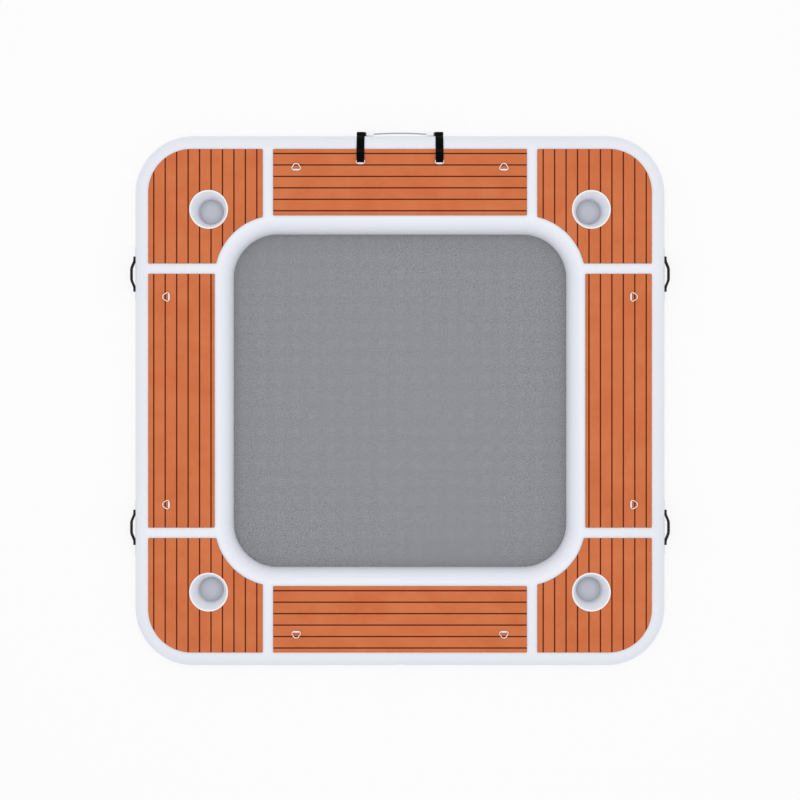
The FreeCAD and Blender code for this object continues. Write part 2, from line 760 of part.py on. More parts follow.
def wall_sector(inner, outer, half_height):
    """A slice of a shell round the outer wall, between two faces and to a height each way."""
    low, high = f"(hull_mid - ({half_height}))", f"(hull_mid + ({half_height}))"
    near = f"(hull_round_out + sqrt(({inner}) ^ 2 - ({half_height}) ^ 2))"
    far = f"(hull_round_out + sqrt(({outer}) ^ 2 - ({half_height}) ^ 2))"
    corners = [(near, low), (far, low), (far, high), (near, high)]
    return corners, {1: (outer, 1), 3: (inner, -1)}


def build_handle(label, angle, place):
    """A moulded handle that stands off the wall between two flanges glued to it."""
    body = new_body(label, angle, y=place)
    out, rest = "handle_out", "handle_rest_out"
    grip, slope_end = "handle_grip / 2", "handle_slope_end / 2"
    aside, along = "handle_tangent * sin(handle_lean)", "handle_tangent * cos(handle_lean)"
    points = [
        (out, "0"), (out, f"{grip} - handle_tangent"), (f"{out} - {aside}", f"{grip} + {along}"),
        (f"{rest} + {aside}", f"{slope_end} - {along}"), (rest, f"{slope_end} + handle_tangent"),
        (rest, "handle_long / 2"),
    ]
    bends = {1: ("handle_bend", 1), 3: ("handle_bend", -1)}
    path = outline(body, "GripPath", "XY_Plane", points, bends, lift="hull_mid", closed=False)
    half_thick, half_tall, edge = "handle_thick / 2", "handle_tall / 2", "handle_edge_round"
    left, right = f"{out} - {half_thick}", f"{out} + {half_thick}"
    low, high = f"hull_mid - {half_tall}", f"hull_mid + {half_tall}"
    corners = [
        (f"{left} + {edge}", low), (f"{right} - {edge}", low), (right, f"{low} + {edge}"),
        (right, f"{high} - {edge}"), (f"{right} - {edge}", high), (f"{left} + {edge}", high),
        (left, f"{high} - {edge}"), (left, f"{low} + {edge}"),
    ]
    rounds = {number: (edge, 1) for number in (1, 3, 5, 7)}
    grip_sketch = outline(body, "GripSection", "XZ_Plane", corners, rounds)
    half = feature(body, "AdditivePipe", "HalfGrip", grip_sketch)
    half.Spine = path
    flange_outline = outline(
        body, "FlangeOutline", "XZ_Plane",
        *wall_sector("hull_round - flange_thick", "flange_face", half_tall),
        lift="-(handle_long / 2 - flange_overlap)",
    )
    flange = pad(body, "Flange", flange_outline, "flange_overlap + flange_long", back=True)
    document.recompute()
    mirrored = body.newObject("PartDesign::Mirrored", "BothHalves")
    mirrored.Originals = [half, flange]
    mirrored.MirrorPlane = (origin_plane(body, "XZ_Plane"), [""])
    body.Tip = mirrored
    wall = circles(
        body, "WallOutline", "XZ_Plane",
        [("hull_round_out", "hull_mid", "hull_round + handle_play")],
    )
    pocket(body, "WallFace", wall, "handle_long + 4 * flange_long", symmetric=True)
    return body


def build_patch(label, angle, place, end):
    """A thin patch over one flange, hollowed beneath for it; end is 1 or -1 along the wall."""
    body = new_body(label, angle, y=place)
    half_tall, corner = "handle_tall / 2", "patch_round"
    start = "(handle_long / 2 + patch_play)"
    ends = [f"{end} * {start}", f"{end} * ({start} + flange_long + patch_hem)"][::end]
    low, high = f"hull_mid - {half_tall} - patch_hem", f"hull_mid + {half_tall} + patch_hem"
    corners = [
        (f"{ends[0]} + {corner}", low), (f"{ends[1]} - {corner}", low),
        (ends[1], f"{low} + {corner}"), (ends[1], f"{high} - {corner}"),
        (f"{ends[1]} - {corner}", high), (f"{ends[0]} + {corner}", high),
        (ends[0], f"{high} - {corner}"), (ends[0], f"{low} + {corner}"),
    ]
    rounds = {number: (corner, 1) for number in (1, 3, 5, 7)}
    face = outline(body, "PatchOutline", "YZ_Plane", corners, rounds, lift="hull_flat_half")
    pad(body, "Patch", face, "hull_bulge + patch_face - hull_round")
    for name, rounds in (
        ("InnerFace", ["hull_round + handle_play"]), ("OuterFace", ["patch_face", "2 * patch_face"]),
    ):
        sketch = circles(
            body, name + "Outline", "XZ_Plane",
            [("hull_round_out", "hull_mid", radius) for radius in rounds],
        )
        pocket(body, name, sketch, "2 * handle_long", symmetric=True)
    hollow = outline(
        body, "FlangeRoom", "XZ_Plane",
        *wall_sector(
            "hull_round - flange_thick", "flange_face + handle_play",
            f"{half_tall} + handle_play",
        ),
        lift=f"{-end} * {start}",
    )
    pocket(body, "Room", hollow, "flange_long", back=end < 0)
    return body


# Boarding bar with its straps


def build_strap(label, side):
    """A strap of two plies, folded through its ring, over the edge and round the bar's bush."""
    body = new_body(label, x=f"{side} * strap_spread")
    height, flat_top = "strap_ring_height", "(strap_under + 2 * strap_ply)"
    fold, fold_out, tip = "strap_fold", "strap_fold_out", "strap_tip"
    lean_out, lean_up = "cos(strap_lean)", "sin(strap_lean)"
    corners = [
        (fold_out, f"{height} - {fold}"),
        ("strap_edge_out", "strap_under"),
        (f"hull_round_out + strap_in_face * {lean_out}", f"hull_mid + strap_in_face * {lean_up}"),
        ("hull_round_out + strap_in_face", "hull_mid"),
        ("bar_out", "hull_mid - strap_loop"),
        ("bar_out + strap_loop", "hull_mid"),
        ("bar_out + strap_loop * cos(strap_wrap)", "hull_mid + strap_loop * sin(strap_wrap)"),
        ("strap_split_out", "strap_split_up"),
        (f"hull_round_out + strap_out_face * {lean_out}", f"hull_mid + strap_out_face * {lean_up}"),
        (f"strap_edge_out + 2 * strap_ply * {lean_out} / (1 + {lean_up})", flat_top),
        (f"{tip} + strap_merge", flat_top),
        (tip, f"{height} + {fold}"),
        (fold_out, f"{height} + {fold}"),
        (f"{fold_out} - {fold}", height),
    ]
    loop = ("strap_loop", 1)
    arcs = {
        2: ("strap_in_face", -1), 3: loop, 4: loop, 5: loop, 7: ("strap_out_face", 1),
        12: (fold, 1), 13: (fold, 1),
    }
    section = outline(body, "StrapSection", "YZ_Plane", corners, arcs)
    pad(body, "Strap", section, "strap_wide", symmetric=True)
    eye = "strap_eye"
    room = outline(
        body, "BowRoomOutline", "YZ_Plane",
        [
            (fold_out, f"{height} - {eye}"), (f"{tip} + 0.8 * strap_merge", f"{height} - {eye}"),
            (tip, f"{height} + {eye}"), (fold_out, f"{height} + {eye}"),
            (f"{fold_out} - {eye}", height),
        ],
        {3: (eye, 1), 4: (eye, 1)},
    )
    pocket(body, "BowRoom", room, "strap_wide", symmetric=True)
    bush = circles(
        body, "BushRoomOutline", "YZ_Plane", [("bar_out", "hull_mid", "bush_wide / 2 + bush_play")]
    )
    pocket(body, "BushRoom", bush, "strap_wide", symmetric=True)
    inside = "(ring_half - ring_wire / 2 - strap_play)"
    for name, sign in (("East", 1), ("West", -1)):
        ends = [f"{sign} * {inside}", f"{sign} * strap_wide"]
        relief = outline(
            body, name + "ReliefOutline", "XY_Plane",
            rectangle(*ends[::sign], f"{fold_out} - 2 * {fold}", fold_out),
            lift=f"{height} + 2 * {fold}",
        )
        pocket(body, name + "Relief", relief, f"4 * {fold}")
    return body


def build_bush(label, side):
    """A rubber bush inside a strap's loop, standing out of it on the side of the grip."""
    body = new_body(label, y="bar_out", z="hull_mid")
    near = "(strap_spread - strap_wide / 2 - bush_proud)"
    rounds = [("0", "0", "bush_wide / 2"), ("0", "0", "rod_wide / 2 + rod_play")]
    sketch = circles(body, "BushSection", "YZ_Plane", rounds, lift=f"{side} * {near}")
    pad(body, "Bush", sketch, "strap_wide + bush_proud", back=side < 0)
    return body


def build_sleeve(label, side):
    """A moulded end sleeve of the grip, with rounded ends."""
    body = new_body(label, y="bar_out", z="hull_mid")
    ends = [f"{side} * sleeve_inner_end", f"{side} * sleeve_outer_end"][::side]
    bore, face, edge = "rod_wide / 2 + rod_play", "sleeve_wide / 2", "sleeve_round"
    corners = [
        (ends[0], bore), (ends[1], bore), (ends[1], f"{face} - {edge}"),
        (f"{ends[1]} - {edge}", face), (f"{ends[0]} + {edge}", face), (ends[0], f"{face} - {edge}"),
    ]
    section = outline(body, "Section", "XY_Plane", corners, {2: (edge, 1), 4: (edge, 1)})
    turned(body, "Sleeve", section, axis="H_Axis")
    return body


def build_bar():
    """The rod through both straps, bowed outwards between the sleeves, with a head at each end."""
    body = new_body("boarding_bar", y="bar_out", z="hull_mid")
    end = "(strap_spread + strap_wide / 2 + rod_play)"
    bend, rise = "(sleeve_inner_end - rod_bow_end * sin(rod_turn))", "rod_bow_end * (1 - cos(rod_turn))"
    points = [
        (end, "0"), ("sleeve_inner_end", "0"), (bend, rise), (f"-{bend}", rise),
        ("-sleeve_inner_end", "0"), (f"-{end}", "0"),
    ]
    bends = {1: ("rod_bow_end", -1), 2: ("rod_bow_round", 1), 3: ("rod_bow_end", -1)}
    path = outline(body, "RodPath", "XY_Plane", points, bends, closed=False)
    section = circles(body, "RodSection", "YZ_Plane", [("0", "0", "rod_wide / 2")], lift=end)
    rod = feature(body, "AdditivePipe", "Rod", section)
    rod.Spine = path
    for name, sign in (("East", 1), ("West", -1)):
        head = circles(
            body, name + "HeadOutline", "YZ_Plane", [("0", "0", "rod_head_wide / 2")],
            lift=f"{sign} * {end}",
        )
        pad(body, name + "Head", head, "rod_head_thick", back=sign < 0)
    return body


# Inflation valve


def valve_piece(label):
    """A body whose +Z looks out of the wall opposite the bar, from the seat of the flange."""
    body = new_body(label, x="valve_place", y="valve_sink - hull_half", z="hull_mid")
    facing = FreeCAD.Rotation(FreeCAD.Vector(1, 0, 0), 90)
    body.Placement = FreeCAD.Placement(body.Placement.Base, facing)
    return body


def build_valve_body():
    """Flange, bayonet collar, boss with its inner seat, and the spider that guides the stem."""
    body = valve_piece("valve_body")
    collar, bore = "cap_plug / 2 + cap_play", "valve_bore / 2"
    top, under = "valve_flange_thick", "(valve_flange_thick - valve_collar_thick)"
    flange, boss, foot = "valve_flange / 2", "valve_boss / 2", "-valve_boss_long"
    corners = [
        (collar, top), (collar, under), (bore, under), (bore, "-seat_sink"),
        ("seat_bore / 2", "-seat_sink"), ("seat_bore / 2", "-seat_sink - seat_thick"),
        (bore, "-seat_sink - seat_thick"), (bore, foot), (boss, foot), (boss, "0"), (flange, "0"),
        (flange, f"{top} - valve_flange_edge"), (f"{flange} - valve_flange_edge", top),
    ]
    turned(body, "Housing", outline(body, "Section", "XZ_Plane", corners))
    notch = outline(
        body, "LugWayOutline", "XY_Plane",
        rectangle(
            "-lug_wide / 2 - lug_play", "lug_wide / 2 + lug_play",
            "0", "cap_plug / 2 + lug_reach + lug_play",
        ),
        lift=top,
    )
    way = pocket(body, "LugWay", notch, "valve_collar_thick")
    round_about(body, "LugWays", [way], count=2)
    arm_outline = outline(
        body, "ArmOutline", "XY_Plane",
        rectangle("-spider_arm / 2", "spider_arm / 2", "0", f"{bore} + spider_arm / 2"),
        lift="-spider_sink",
    )
    arm = pad(body, "Arm", arm_outline, "spider_thick", back=True)
    round_about(body, "Arms", [arm], count=3)
    hub = circles(body, "HubOutline", "XY_Plane", [("0", "0", "spider_hub / 2")], lift="-spider_sink")
    pad(body, "Hub", hub, "spider_thick", back=True)
    guide = circles(
        body, "GuideOutline", "XY_Plane", [("0", "0", "stem_wide / 2 + stem_play")],
        lift="-spider_sink",
    )
    pocket(body, "Guide", guide, "spider_thick")
    return body


def build_valve_plunger():
    """Button, stem and the poppet that closes against the seat from inside."""
    body = valve_piece("valve_plunger")
    stem, button, poppet = "stem_wide / 2", "button_wide / 2", "poppet_wide / 2"
    shut = "(-seat_sink - seat_thick - seat_play)"
    foot, neck = f"({shut} - poppet_thick)", "(-button_sink - button_thick)"
    corners = [
        ("0", foot), (poppet, foot), (poppet, shut), (stem, shut), (stem, neck), (button, neck),
        (button, "-button_sink"), ("0", "-button_sink"),
    ]
    turned(body, "Plunger", outline(body, "Section", "XZ_Plane", corners))
    return body


def build_valve_spring():
    """The coil that holds the poppet shut, between the spider and the button."""
    body = valve_piece("valve_spring")
    low = "(-spider_sink + spring_play + spring_wire / 2)"
    high = "(-button_sink - button_thick - spring_play - spring_wire / 2)"
    section = circles(
        body, "WireSection", "XZ_Plane", [("(spring_wide - spring_wire) / 2", low, "spring_wire / 2")]
    )
    document.recompute()
    coil = feature(body, "AdditiveHelix", "Coil", section)
    coil.Mode = "height-turns-angle"
    coil.ReferenceAxis = (section, ["V_Axis"])
    bind(coil, Height=f"{high} - {low}", Turns="spring_turns")
    return body


def build_valve_cap():
    """A flat cap with two finger hollows, a hollow plug with bayonet lugs and a seal groove."""
    body = valve_piece("valve_cap")
    plug, hollow, rim = "cap_plug / 2", "(cap_plug / 2 - cap_plug_wall)", "cap_wide / 2"
    low, high, edge = "cap_low", "cap_high", "cap_edge_round"
    foot = "(cap_low - cap_plug_long)"
    groove_in = "(seal_wide / 2 - seal_wire / 2 - seal_play)"
    groove_out = "(seal_wide / 2 + seal_wire / 2 + seal_play)"
    roof = "(valve_flange_thick + seal_wire + seal_play)"
    corners = [
        ("0", low), (hollow, low), (hollow, foot), (plug, foot), (plug, low), (groove_in, low),
        (groove_in, roof), (groove_out, roof), (groove_out, low), (rim, low),
        (rim, f"{high} - {edge}"), (f"{rim} - {edge}", high), ("0", high),
    ]
    turned(body, "Cap", outline(body, "Section", "XZ_Plane", corners, {10: (edge, 1)}))
    half, face = "cap_rib / 2", "cap_grip_wide / 2"
    rise = f"sqrt(({face}) ^ 2 - ({half}) ^ 2)"
    hollow_outline = outline(
        body, "FingerOutline", "XY_Plane",
        [(half, f"-{rise}"), (face, "0"), (half, rise)], {0: (face, 1), 1: (face, 1)}, lift=high,
    )
    finger = pocket(body, "Finger", hollow_outline, "cap_grip_deep")
    round_about(body, "Fingers", [finger], count=2)
    lug_outline = outline(
        body, "LugOutline", "XY_Plane",
        rectangle(
            f"{plug} - cap_plug_wall / 2", f"{plug} + lug_reach", "-lug_wide / 2", "lug_wide / 2"
        ),
        lift=foot,
    )
    lug = pad(body, "Lug", lug_outline, "lug_thick")
    round_about(body, "Lugs", [lug], count=2)
    return body


def build_valve_seal():
    """The rubber ring between the cap and the flange."""
    body = valve_piece("valve_seal")
    section = circles(
        body, "Section", "XZ_Plane",
        [("seal_wide / 2", "valve_flange_thick + seal_wire / 2", "seal_wire / 2")],
    )
    turned(body, "Seal", section)
    return body


# Building it all


def build_everything():
    """Builds each sub-part and returns the bodies in order."""
    bodies = [build_hull()]
    ring_slots = [("ring_spread", "ring_place"), ("-ring_spread", "ring_place")]
    strap_slots = [("strap_spread", "strap_ring_place"), ("-strap_spread", "strap_ring_place")]
    bodies.append(build_side_pad("deck_pad_north", 0, "plank_margin_end", ring_slots + strap_slots))
    bodies.append(build_side_pad("deck_pad_west", 90, "plank_margin_side", ring_slots))
    bodies.append(build_side_pad("deck_pad_south", 180, "plank_margin_end", ring_slots))
    bodies.append(build_side_pad("deck_pad_east", 270, "plank_margin_side", ring_slots))
    bodies.append(build_corner_pad("deck_pad_north_east", 0, True))
    bodies.append(build_corner_pad("deck_pad_north_west", 90, False))
    bodies.append(build_corner_pad("deck_pad_south_west", 180, True))
    bodies.append(build_corner_pad("deck_pad_south_east", 270, False))
    for north, sign_y in (("north", 1), ("south", -1)):
        for east, sign_x in (("east", 1), ("west", -1)):
            bodies.append(build_cup(f"cup_holder_{north}_{east}", sign_x, sign_y))
    bodies.append(build_mesh_floor())
    bodies.append(build_mesh_border())
    sides = (("north", 0), ("west", 90), ("south", 180), ("east", 270))
    for side, angle in sides:
        for number, hand in ((1, 1), (2, -1)):
            turn = FreeCAD.Rotation(UP, angle)
            along = turn.multVec(FreeCAD.Vector(1, 0, 0))
            outward = turn.multVec(FreeCAD.Vector(0, 1, 0))
            x = f"{round(along.x) * hand} * ring_spread + {round(outward.x)} * ring_place"
            y = f"{round(along.y) * hand} * ring_spread + {round(outward.y)} * ring_place"
            bodies.append(build_ring(f"deck_ring_{side}_{number}", angle, x, y, "ring_height"))
            bodies.append(build_tab(f"ring_tab_{side}_{number}", angle, x, y, "ring_height"))
    for side, angle in (("east", 0), ("west", 180)):
        for number, hand in ((1, 1), (2, -1)):
            place = f"{hand} * handle_place"
            bodies.append(build_handle(f"side_handle_{side}_{number}", angle, place))
            for letter, end in (("a", 1), ("b", -1)):
                name = f"handle_patch_{side}_{number}{letter}"
                bodies.append(build_patch(name, angle, place, end))
    for side, sign in (("east", 1), ("west", -1)):
        x, y = f"{sign} * strap_spread", "strap_ring_place"
        bodies.append(build_ring(f"strap_ring_{side}", 0, x, y, "strap_ring_height"))
        bodies.append(build_tab(f"strap_tab_{side}", 0, x, y, "strap_ring_height"))
        bodies.append(build_strap(f"bar_strap_{side}", sign))
        bodies.append(build_bush(f"bar_bush_{side}", sign))
        bodies.append(build_sleeve(f"bar_sleeve_{side}", sign))
    bodies.append(build_bar())
    bodies.append(build_valve_body())
    bodies.append(build_valve_plunger())
    bodies.append(build_valve_spring())
    bodies.append(build_valve_cap())
    bodies.append(build_valve_seal())
    return bodies


bodies = build_everything()
document.recompute()

for item in document.Objects:
    if "Invalid" in item.State or "Error" in item.State:
        raise RuntimeError(f"{item.Label} failed: {item.State}")

os.makedirs("parts", exist_ok=True)
for body in bodies:
    shape = body.Shape
    if shape.isNull() or not shape.isValid():
        raise RuntimeError(f"{body.Label} has no valid shape")
    shape.exportStep(f"parts/{body.Label}.step")
    print(body.Label, len(shape.Solids), round(shape.Volume), [round(v, 1) for v in (
        shape.BoundBox.XMin, shape.BoundBox.XMax, shape.BoundBox.YMin, shape.BoundBox.YMax,
        shape.BoundBox.ZMin, shape.BoundBox.ZMax)])
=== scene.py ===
"""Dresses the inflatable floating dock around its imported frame, and sets up its studio."""

from __future__ import annotations

import json
import logging
import math
from collections.abc import Iterator
from contextlib import contextmanager
from dataclasses import dataclass, field
from enum import Enum

import bpy
from mathutils import Matrix, Vector

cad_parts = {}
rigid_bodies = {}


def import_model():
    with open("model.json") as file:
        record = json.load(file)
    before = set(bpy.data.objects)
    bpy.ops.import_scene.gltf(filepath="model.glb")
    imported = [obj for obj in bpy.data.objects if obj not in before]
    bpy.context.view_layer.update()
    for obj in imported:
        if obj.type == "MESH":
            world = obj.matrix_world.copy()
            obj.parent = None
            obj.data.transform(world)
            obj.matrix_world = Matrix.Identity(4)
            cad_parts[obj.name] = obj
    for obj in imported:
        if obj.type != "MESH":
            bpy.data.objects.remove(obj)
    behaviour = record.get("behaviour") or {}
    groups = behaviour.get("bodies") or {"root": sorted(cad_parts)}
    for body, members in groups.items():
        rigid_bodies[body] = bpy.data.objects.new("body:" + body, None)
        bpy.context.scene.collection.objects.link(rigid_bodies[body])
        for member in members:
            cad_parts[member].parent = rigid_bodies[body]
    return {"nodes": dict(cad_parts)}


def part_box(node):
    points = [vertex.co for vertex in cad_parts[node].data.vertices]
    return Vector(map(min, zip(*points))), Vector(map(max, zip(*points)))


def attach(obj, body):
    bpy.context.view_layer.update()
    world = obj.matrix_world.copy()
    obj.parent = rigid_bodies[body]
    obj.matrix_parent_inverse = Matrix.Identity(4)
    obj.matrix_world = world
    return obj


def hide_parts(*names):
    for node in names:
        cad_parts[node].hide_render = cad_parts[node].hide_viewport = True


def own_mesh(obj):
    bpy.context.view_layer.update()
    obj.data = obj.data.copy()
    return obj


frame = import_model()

log = logging.getLogger("dock")

MM = 0.001
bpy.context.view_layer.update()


# Nodes and colours


def linear(code: str) -> tuple[float, float, float, float]:
    """Turns an sRGB hex colour into linear red, green, blue and alpha.

    Args:
        code: Six hex digits, such as "d07146".

    Returns:
        The colour as Blender's sockets take it.
    """
    parts = [int(code[place:place + 2], 16) / 255 for place in (0, 2, 4)]
    curve = [part / 12.92 if part <= 0.04045 else ((part + 0.055) / 1.055) ** 2.4 for part in parts]
    return (*curve, 1.0)


WHITE = linear("ffffff")


def empty_tree(owner: bpy.types.Material | bpy.types.World) -> bpy.types.NodeTree:
    """Turns on the nodes of a material or a world and clears them.

    Args:
        owner: The material or the world.

    Returns:
        Its node tree, with nothing in it.
    """
    owner.use_nodes = True
    owner.node_tree.nodes.clear()
    return owner.node_tree


def add_node(
    tree: bpy.types.NodeTree, kind: str, settings: dict | None = None, inputs: dict | None = None
) -> bpy.types.Node:
    """Adds a node to a tree, with its settings, and its sockets set or linked.

    Args:
        tree: The node tree that the node goes into.
        kind: The node's type, such as "ShaderNodeBump".
        settings: Properties of the node by name.
        inputs: Values, or output sockets to link from, by input socket.

    Returns:
        The new node.
    """
    node = tree.nodes.new(kind)
    for name, value in (settings or {}).items():
        setattr(node, name, value)
    for name, value in (inputs or {}).items():
        if isinstance(value, bpy.types.NodeSocket):
            tree.links.new(value, node.inputs[name])
        else:
            node.inputs[name].default_value = value
    return node


def wave_scale(period: float) -> float:
    """The Wave texture's scale for a period in metres, because it has 20 radians to a unit."""
    return 2 * math.pi / 20 / period


class Axis(Enum):
    """The direction in which a pattern runs."""

    X = 0
    Y = 1
    Z = 2


# Finishes


@dataclass(frozen=True)
class Finish:
    """A plain surface; each kind of finish adds its own pattern in dress.

    Attributes:
        name: The material's name.
        colour: The base colour as sRGB hex.
        roughness: How matt the surface is.
        metallic: 1 on uncoated metal.
        shine: The strength of its reflections, 0.5 on plain plastic.
    """

    name: str
    colour: str
    roughness: float
    metallic: float = 0.0
    shine: float = 0.5

    def material(self) -> bpy.types.Material:
        """Makes the material at the first call, and finds it again at later ones.

        Returns:
            The material.
        """
        found = bpy.data.materials.get(self.name)
        if found:
            return found
        material = bpy.data.materials.new(self.name)
        tree = empty_tree(material)
        shader = add_node(
            tree, "ShaderNodeBsdfPrincipled",
            inputs={
                "Base Color": linear(self.colour), "Roughness": self.roughness,
                "Metallic": self.metallic, "Specular IOR Level": self.shine,
            },
        )
        add_node(tree, "ShaderNodeOutputMaterial", inputs={"Surface": shader.outputs["BSDF"]})
        place = add_node(tree, "ShaderNodeTexCoord").outputs["Object"]
        self.dress(tree, shader, place)
        return material

    def dress(
        self, tree: bpy.types.NodeTree, shader: bpy.types.Node, place: bpy.types.NodeSocket
    ) -> None:
        """Adds the pattern of this finish; a plain one has none.

        Args:
            tree: The material's nodes.
            shader: The node that the pattern is linked to.
            place: The socket of the Object coordinates.
        """


@dataclass(frozen=True)
class CoatedFabric(Finish):
    """PVC coated drop-stitch polyester, calendered: a soft satin skin with a faint thread grid.

    Attributes:
        shade: The second colour, which shows in soft clouds.
        cloud: The size of the clouds.
        stitch: The spacing of the drop threads that dimple the skin.
        stitch_deep: The relief of one row of dimples.
        grain: The spacing of the cloth's threads under the coat.
        grain_deep: Their relief.
    """

    shade: str = "e4e8f1"
    cloud: float = 400 * MM
    stitch: float = 9 * MM
    stitch_deep: float = 0.05 * MM
    grain: float = 1.6 * MM
    grain_deep: float = 0.08 * MM

    def dress(
        self, tree: bpy.types.NodeTree, shader: bpy.types.Node, place: bpy.types.NodeSocket
    ) -> None:
        """Adds soft clouds of colour, dimples over the drop threads and a fine grain.

        Args:
            tree: The material's nodes.
            shader: The node that the pattern is linked to.
            place: The socket of the Object coordinates.
        """
        clouds = add_node(
            tree, "ShaderNodeTexNoise", inputs={"Vector": place, "Scale": 1 / self.cloud, "Detail": 3.0}
        )
        mixed = add_node(
            tree, "ShaderNodeMix", {"data_type": "RGBA"},
            {0: clouds.outputs["Fac"], 6: linear(self.colour), 7: linear(self.shade)},
        )
        tree.links.new(mixed.outputs[2], shader.inputs["Base Color"])
        rows = [
            add_node(
                tree, "ShaderNodeTexWave", {"bands_direction": axis.name},
                {"Vector": place, "Scale": wave_scale(self.stitch)},
            ).outputs["Fac"]
            for axis in Axis
        ]
        grid = rows[0]
        for row in rows[1:]:
            grid = add_node(tree, "ShaderNodeMath", {"operation": "ADD"}, {0: grid, 1: row}).outputs[0]
        dimples = add_node(
            tree, "ShaderNodeBump", inputs={"Height": grid, "Distance": self.stitch_deep}
        )
        threads = add_node(
            tree, "ShaderNodeTexNoise", inputs={"Vector": place, "Scale": 1 / self.grain, "Detail": 2.0}
        )
        skin = add_node(
            tree, "ShaderNodeBump",
            inputs={
                "Height": threads.outputs["Fac"], "Distance": self.grain_deep,
                "Normal": dimples.outputs["Normal"],
            },
        )
        tree.links.new(skin.outputs["Normal"], shader.inputs["Normal"])


@dataclass(frozen=True)
class DeckFoam(Finish):
    """EVA foam decking, brushed along its planks: matt teak, with dark foam in the grooves.

    Attributes:
        along: The axis that the planks run along.
        shade: The second colour of the brushed streaks.
        groove: The colour of the lower layer of foam.
        top: The height of the walking surface.
        streak: A streak's width across the planks.
        streak_long: A streak's length along them.
        streak_deep: The relief of the brushing.
        cloud: The size of the patches in which the streaks are strong or weak.
        spread: The part of the pattern's range over which the two colours blend.
        layer: How far under the surface the teak layer starts to end, and ends.
    """

    along: Axis = Axis.Y
    shade: str = "cc6c40"
    groove: str = "5c1e08"
    top: float = 0.0
    streak: float = 1.5 * MM
    streak_long: float = 60 * MM
    streak_deep: float = 0.25 * MM
    cloud: float = 111 * MM
    spread: tuple[float, float] = (0.12, 0.38)
    layer: tuple[float, float] = (0.5 * MM, 0.9 * MM)

    def dress(
        self, tree: bpy.types.NodeTree, shader: bpy.types.Node, place: bpy.types.NodeSocket
    ) -> None:
        """Adds streaks along the planks, their brushed relief, and the grooves' darker layer.

        Args:
            tree: The material's nodes.
            shader: The node that the pattern is linked to.
            place: The socket of the Object coordinates.
        """
        scale = [1 / self.streak, 1 / self.streak, 1 / self.streak]
        scale[self.along.value] = 1 / self.streak_long
        stretched = add_node(
            tree, "ShaderNodeMapping", {"vector_type": "POINT"}, {"Vector": place, "Scale": scale}
        )
        streaks = add_node(
            tree, "ShaderNodeTexNoise",
            inputs={"Vector": stretched.outputs[0], "Scale": 1.0, "Detail": 4.0},
        )
        clouds = add_node(
            tree, "ShaderNodeTexNoise", inputs={"Vector": place, "Scale": 1 / self.cloud, "Detail": 2.0}
        )
        both = add_node(
            tree, "ShaderNodeMath", {"operation": "MULTIPLY"},
            {0: streaks.outputs["Fac"], 1: clouds.outputs["Fac"]},
        )
        amount = add_node(
            tree, "ShaderNodeMapRange",
            inputs={
                "Value": both.outputs[0], "From Min": self.spread[0], "From Max": self.spread[1],
            },
        )
        face = add_node(
            tree, "ShaderNodeMix", {"data_type": "RGBA"},
            {0: amount.outputs[0], 6: linear(self.colour), 7: linear(self.shade)},
        )
        height = add_node(tree, "ShaderNodeSeparateXYZ", inputs={"Vector": place}).outputs["Z"]
        depth = add_node(
            tree, "ShaderNodeMapRange",
            inputs={
                "Value": height, "From Min": self.top - self.layer[1],
                "From Max": self.top - self.layer[0],
            },
        )
        layers = add_node(
            tree, "ShaderNodeMix", {"data_type": "RGBA"},
            {0: depth.outputs[0], 6: linear(self.groove), 7: face.outputs[2]},
        )
        tree.links.new(layers.outputs[2], shader.inputs["Base Color"])
        brushed = add_node(
            tree, "ShaderNodeBump",
            inputs={"Height": streaks.outputs["Fac"], "Distance": self.streak_deep},
        )
        tree.links.new(brushed.outputs["Normal"], shader.inputs["Normal"])


@dataclass(frozen=True)
class MouldedPlastic(Finish):
    """Injection moulded plastic with a fine spark-eroded texture: even satin with soft glints.

    Attributes:
        stipple: The size of the texture's grains.
        stipple_deep: Their relief.
        patch: The size of the patches in the sheen.
        sheen: How far the roughness goes below its value and above it.
    """

    stipple: float = 0.8 * MM
    stipple_deep: float = 0.02 * MM
    patch: float = 33.3 * MM
    sheen: tuple[float, float] = (0.05, 0.07)

    def dress(
        self, tree: bpy.types.NodeTree, shader: bpy.types.Node, place: bpy.types.NodeSocket
    ) -> None:
        """Adds a fine stipple, and a little unevenness in the sheen.

        Args:
            tree: The material's nodes.
            shader: The node that the pattern is linked to.
            place: The socket of the Object coordinates.
        """
        grains = add_node(
            tree, "ShaderNodeTexNoise",
            inputs={"Vector": place, "Scale": 1 / self.stipple, "Detail": 1.0},
        )
        patches = add_node(
            tree, "ShaderNodeTexNoise", inputs={"Vector": place, "Scale": 1 / self.patch, "Detail": 2.0}
        )
        sheen = add_node(
            tree, "ShaderNodeMapRange",
            inputs={
                "Value": patches.outputs["Fac"], "To Min": self.roughness - self.sheen[0],
                "To Max": self.roughness + self.sheen[1],
            },
        )
        tree.links.new(sheen.outputs[0], shader.inputs["Roughness"])
        eroded = add_node(
            tree, "ShaderNodeBump",
            inputs={"Height": grains.outputs["Fac"], "Distance": self.stipple_deep},
        )
        tree.links.new(eroded.outputs["Normal"], shader.inputs["Normal"])


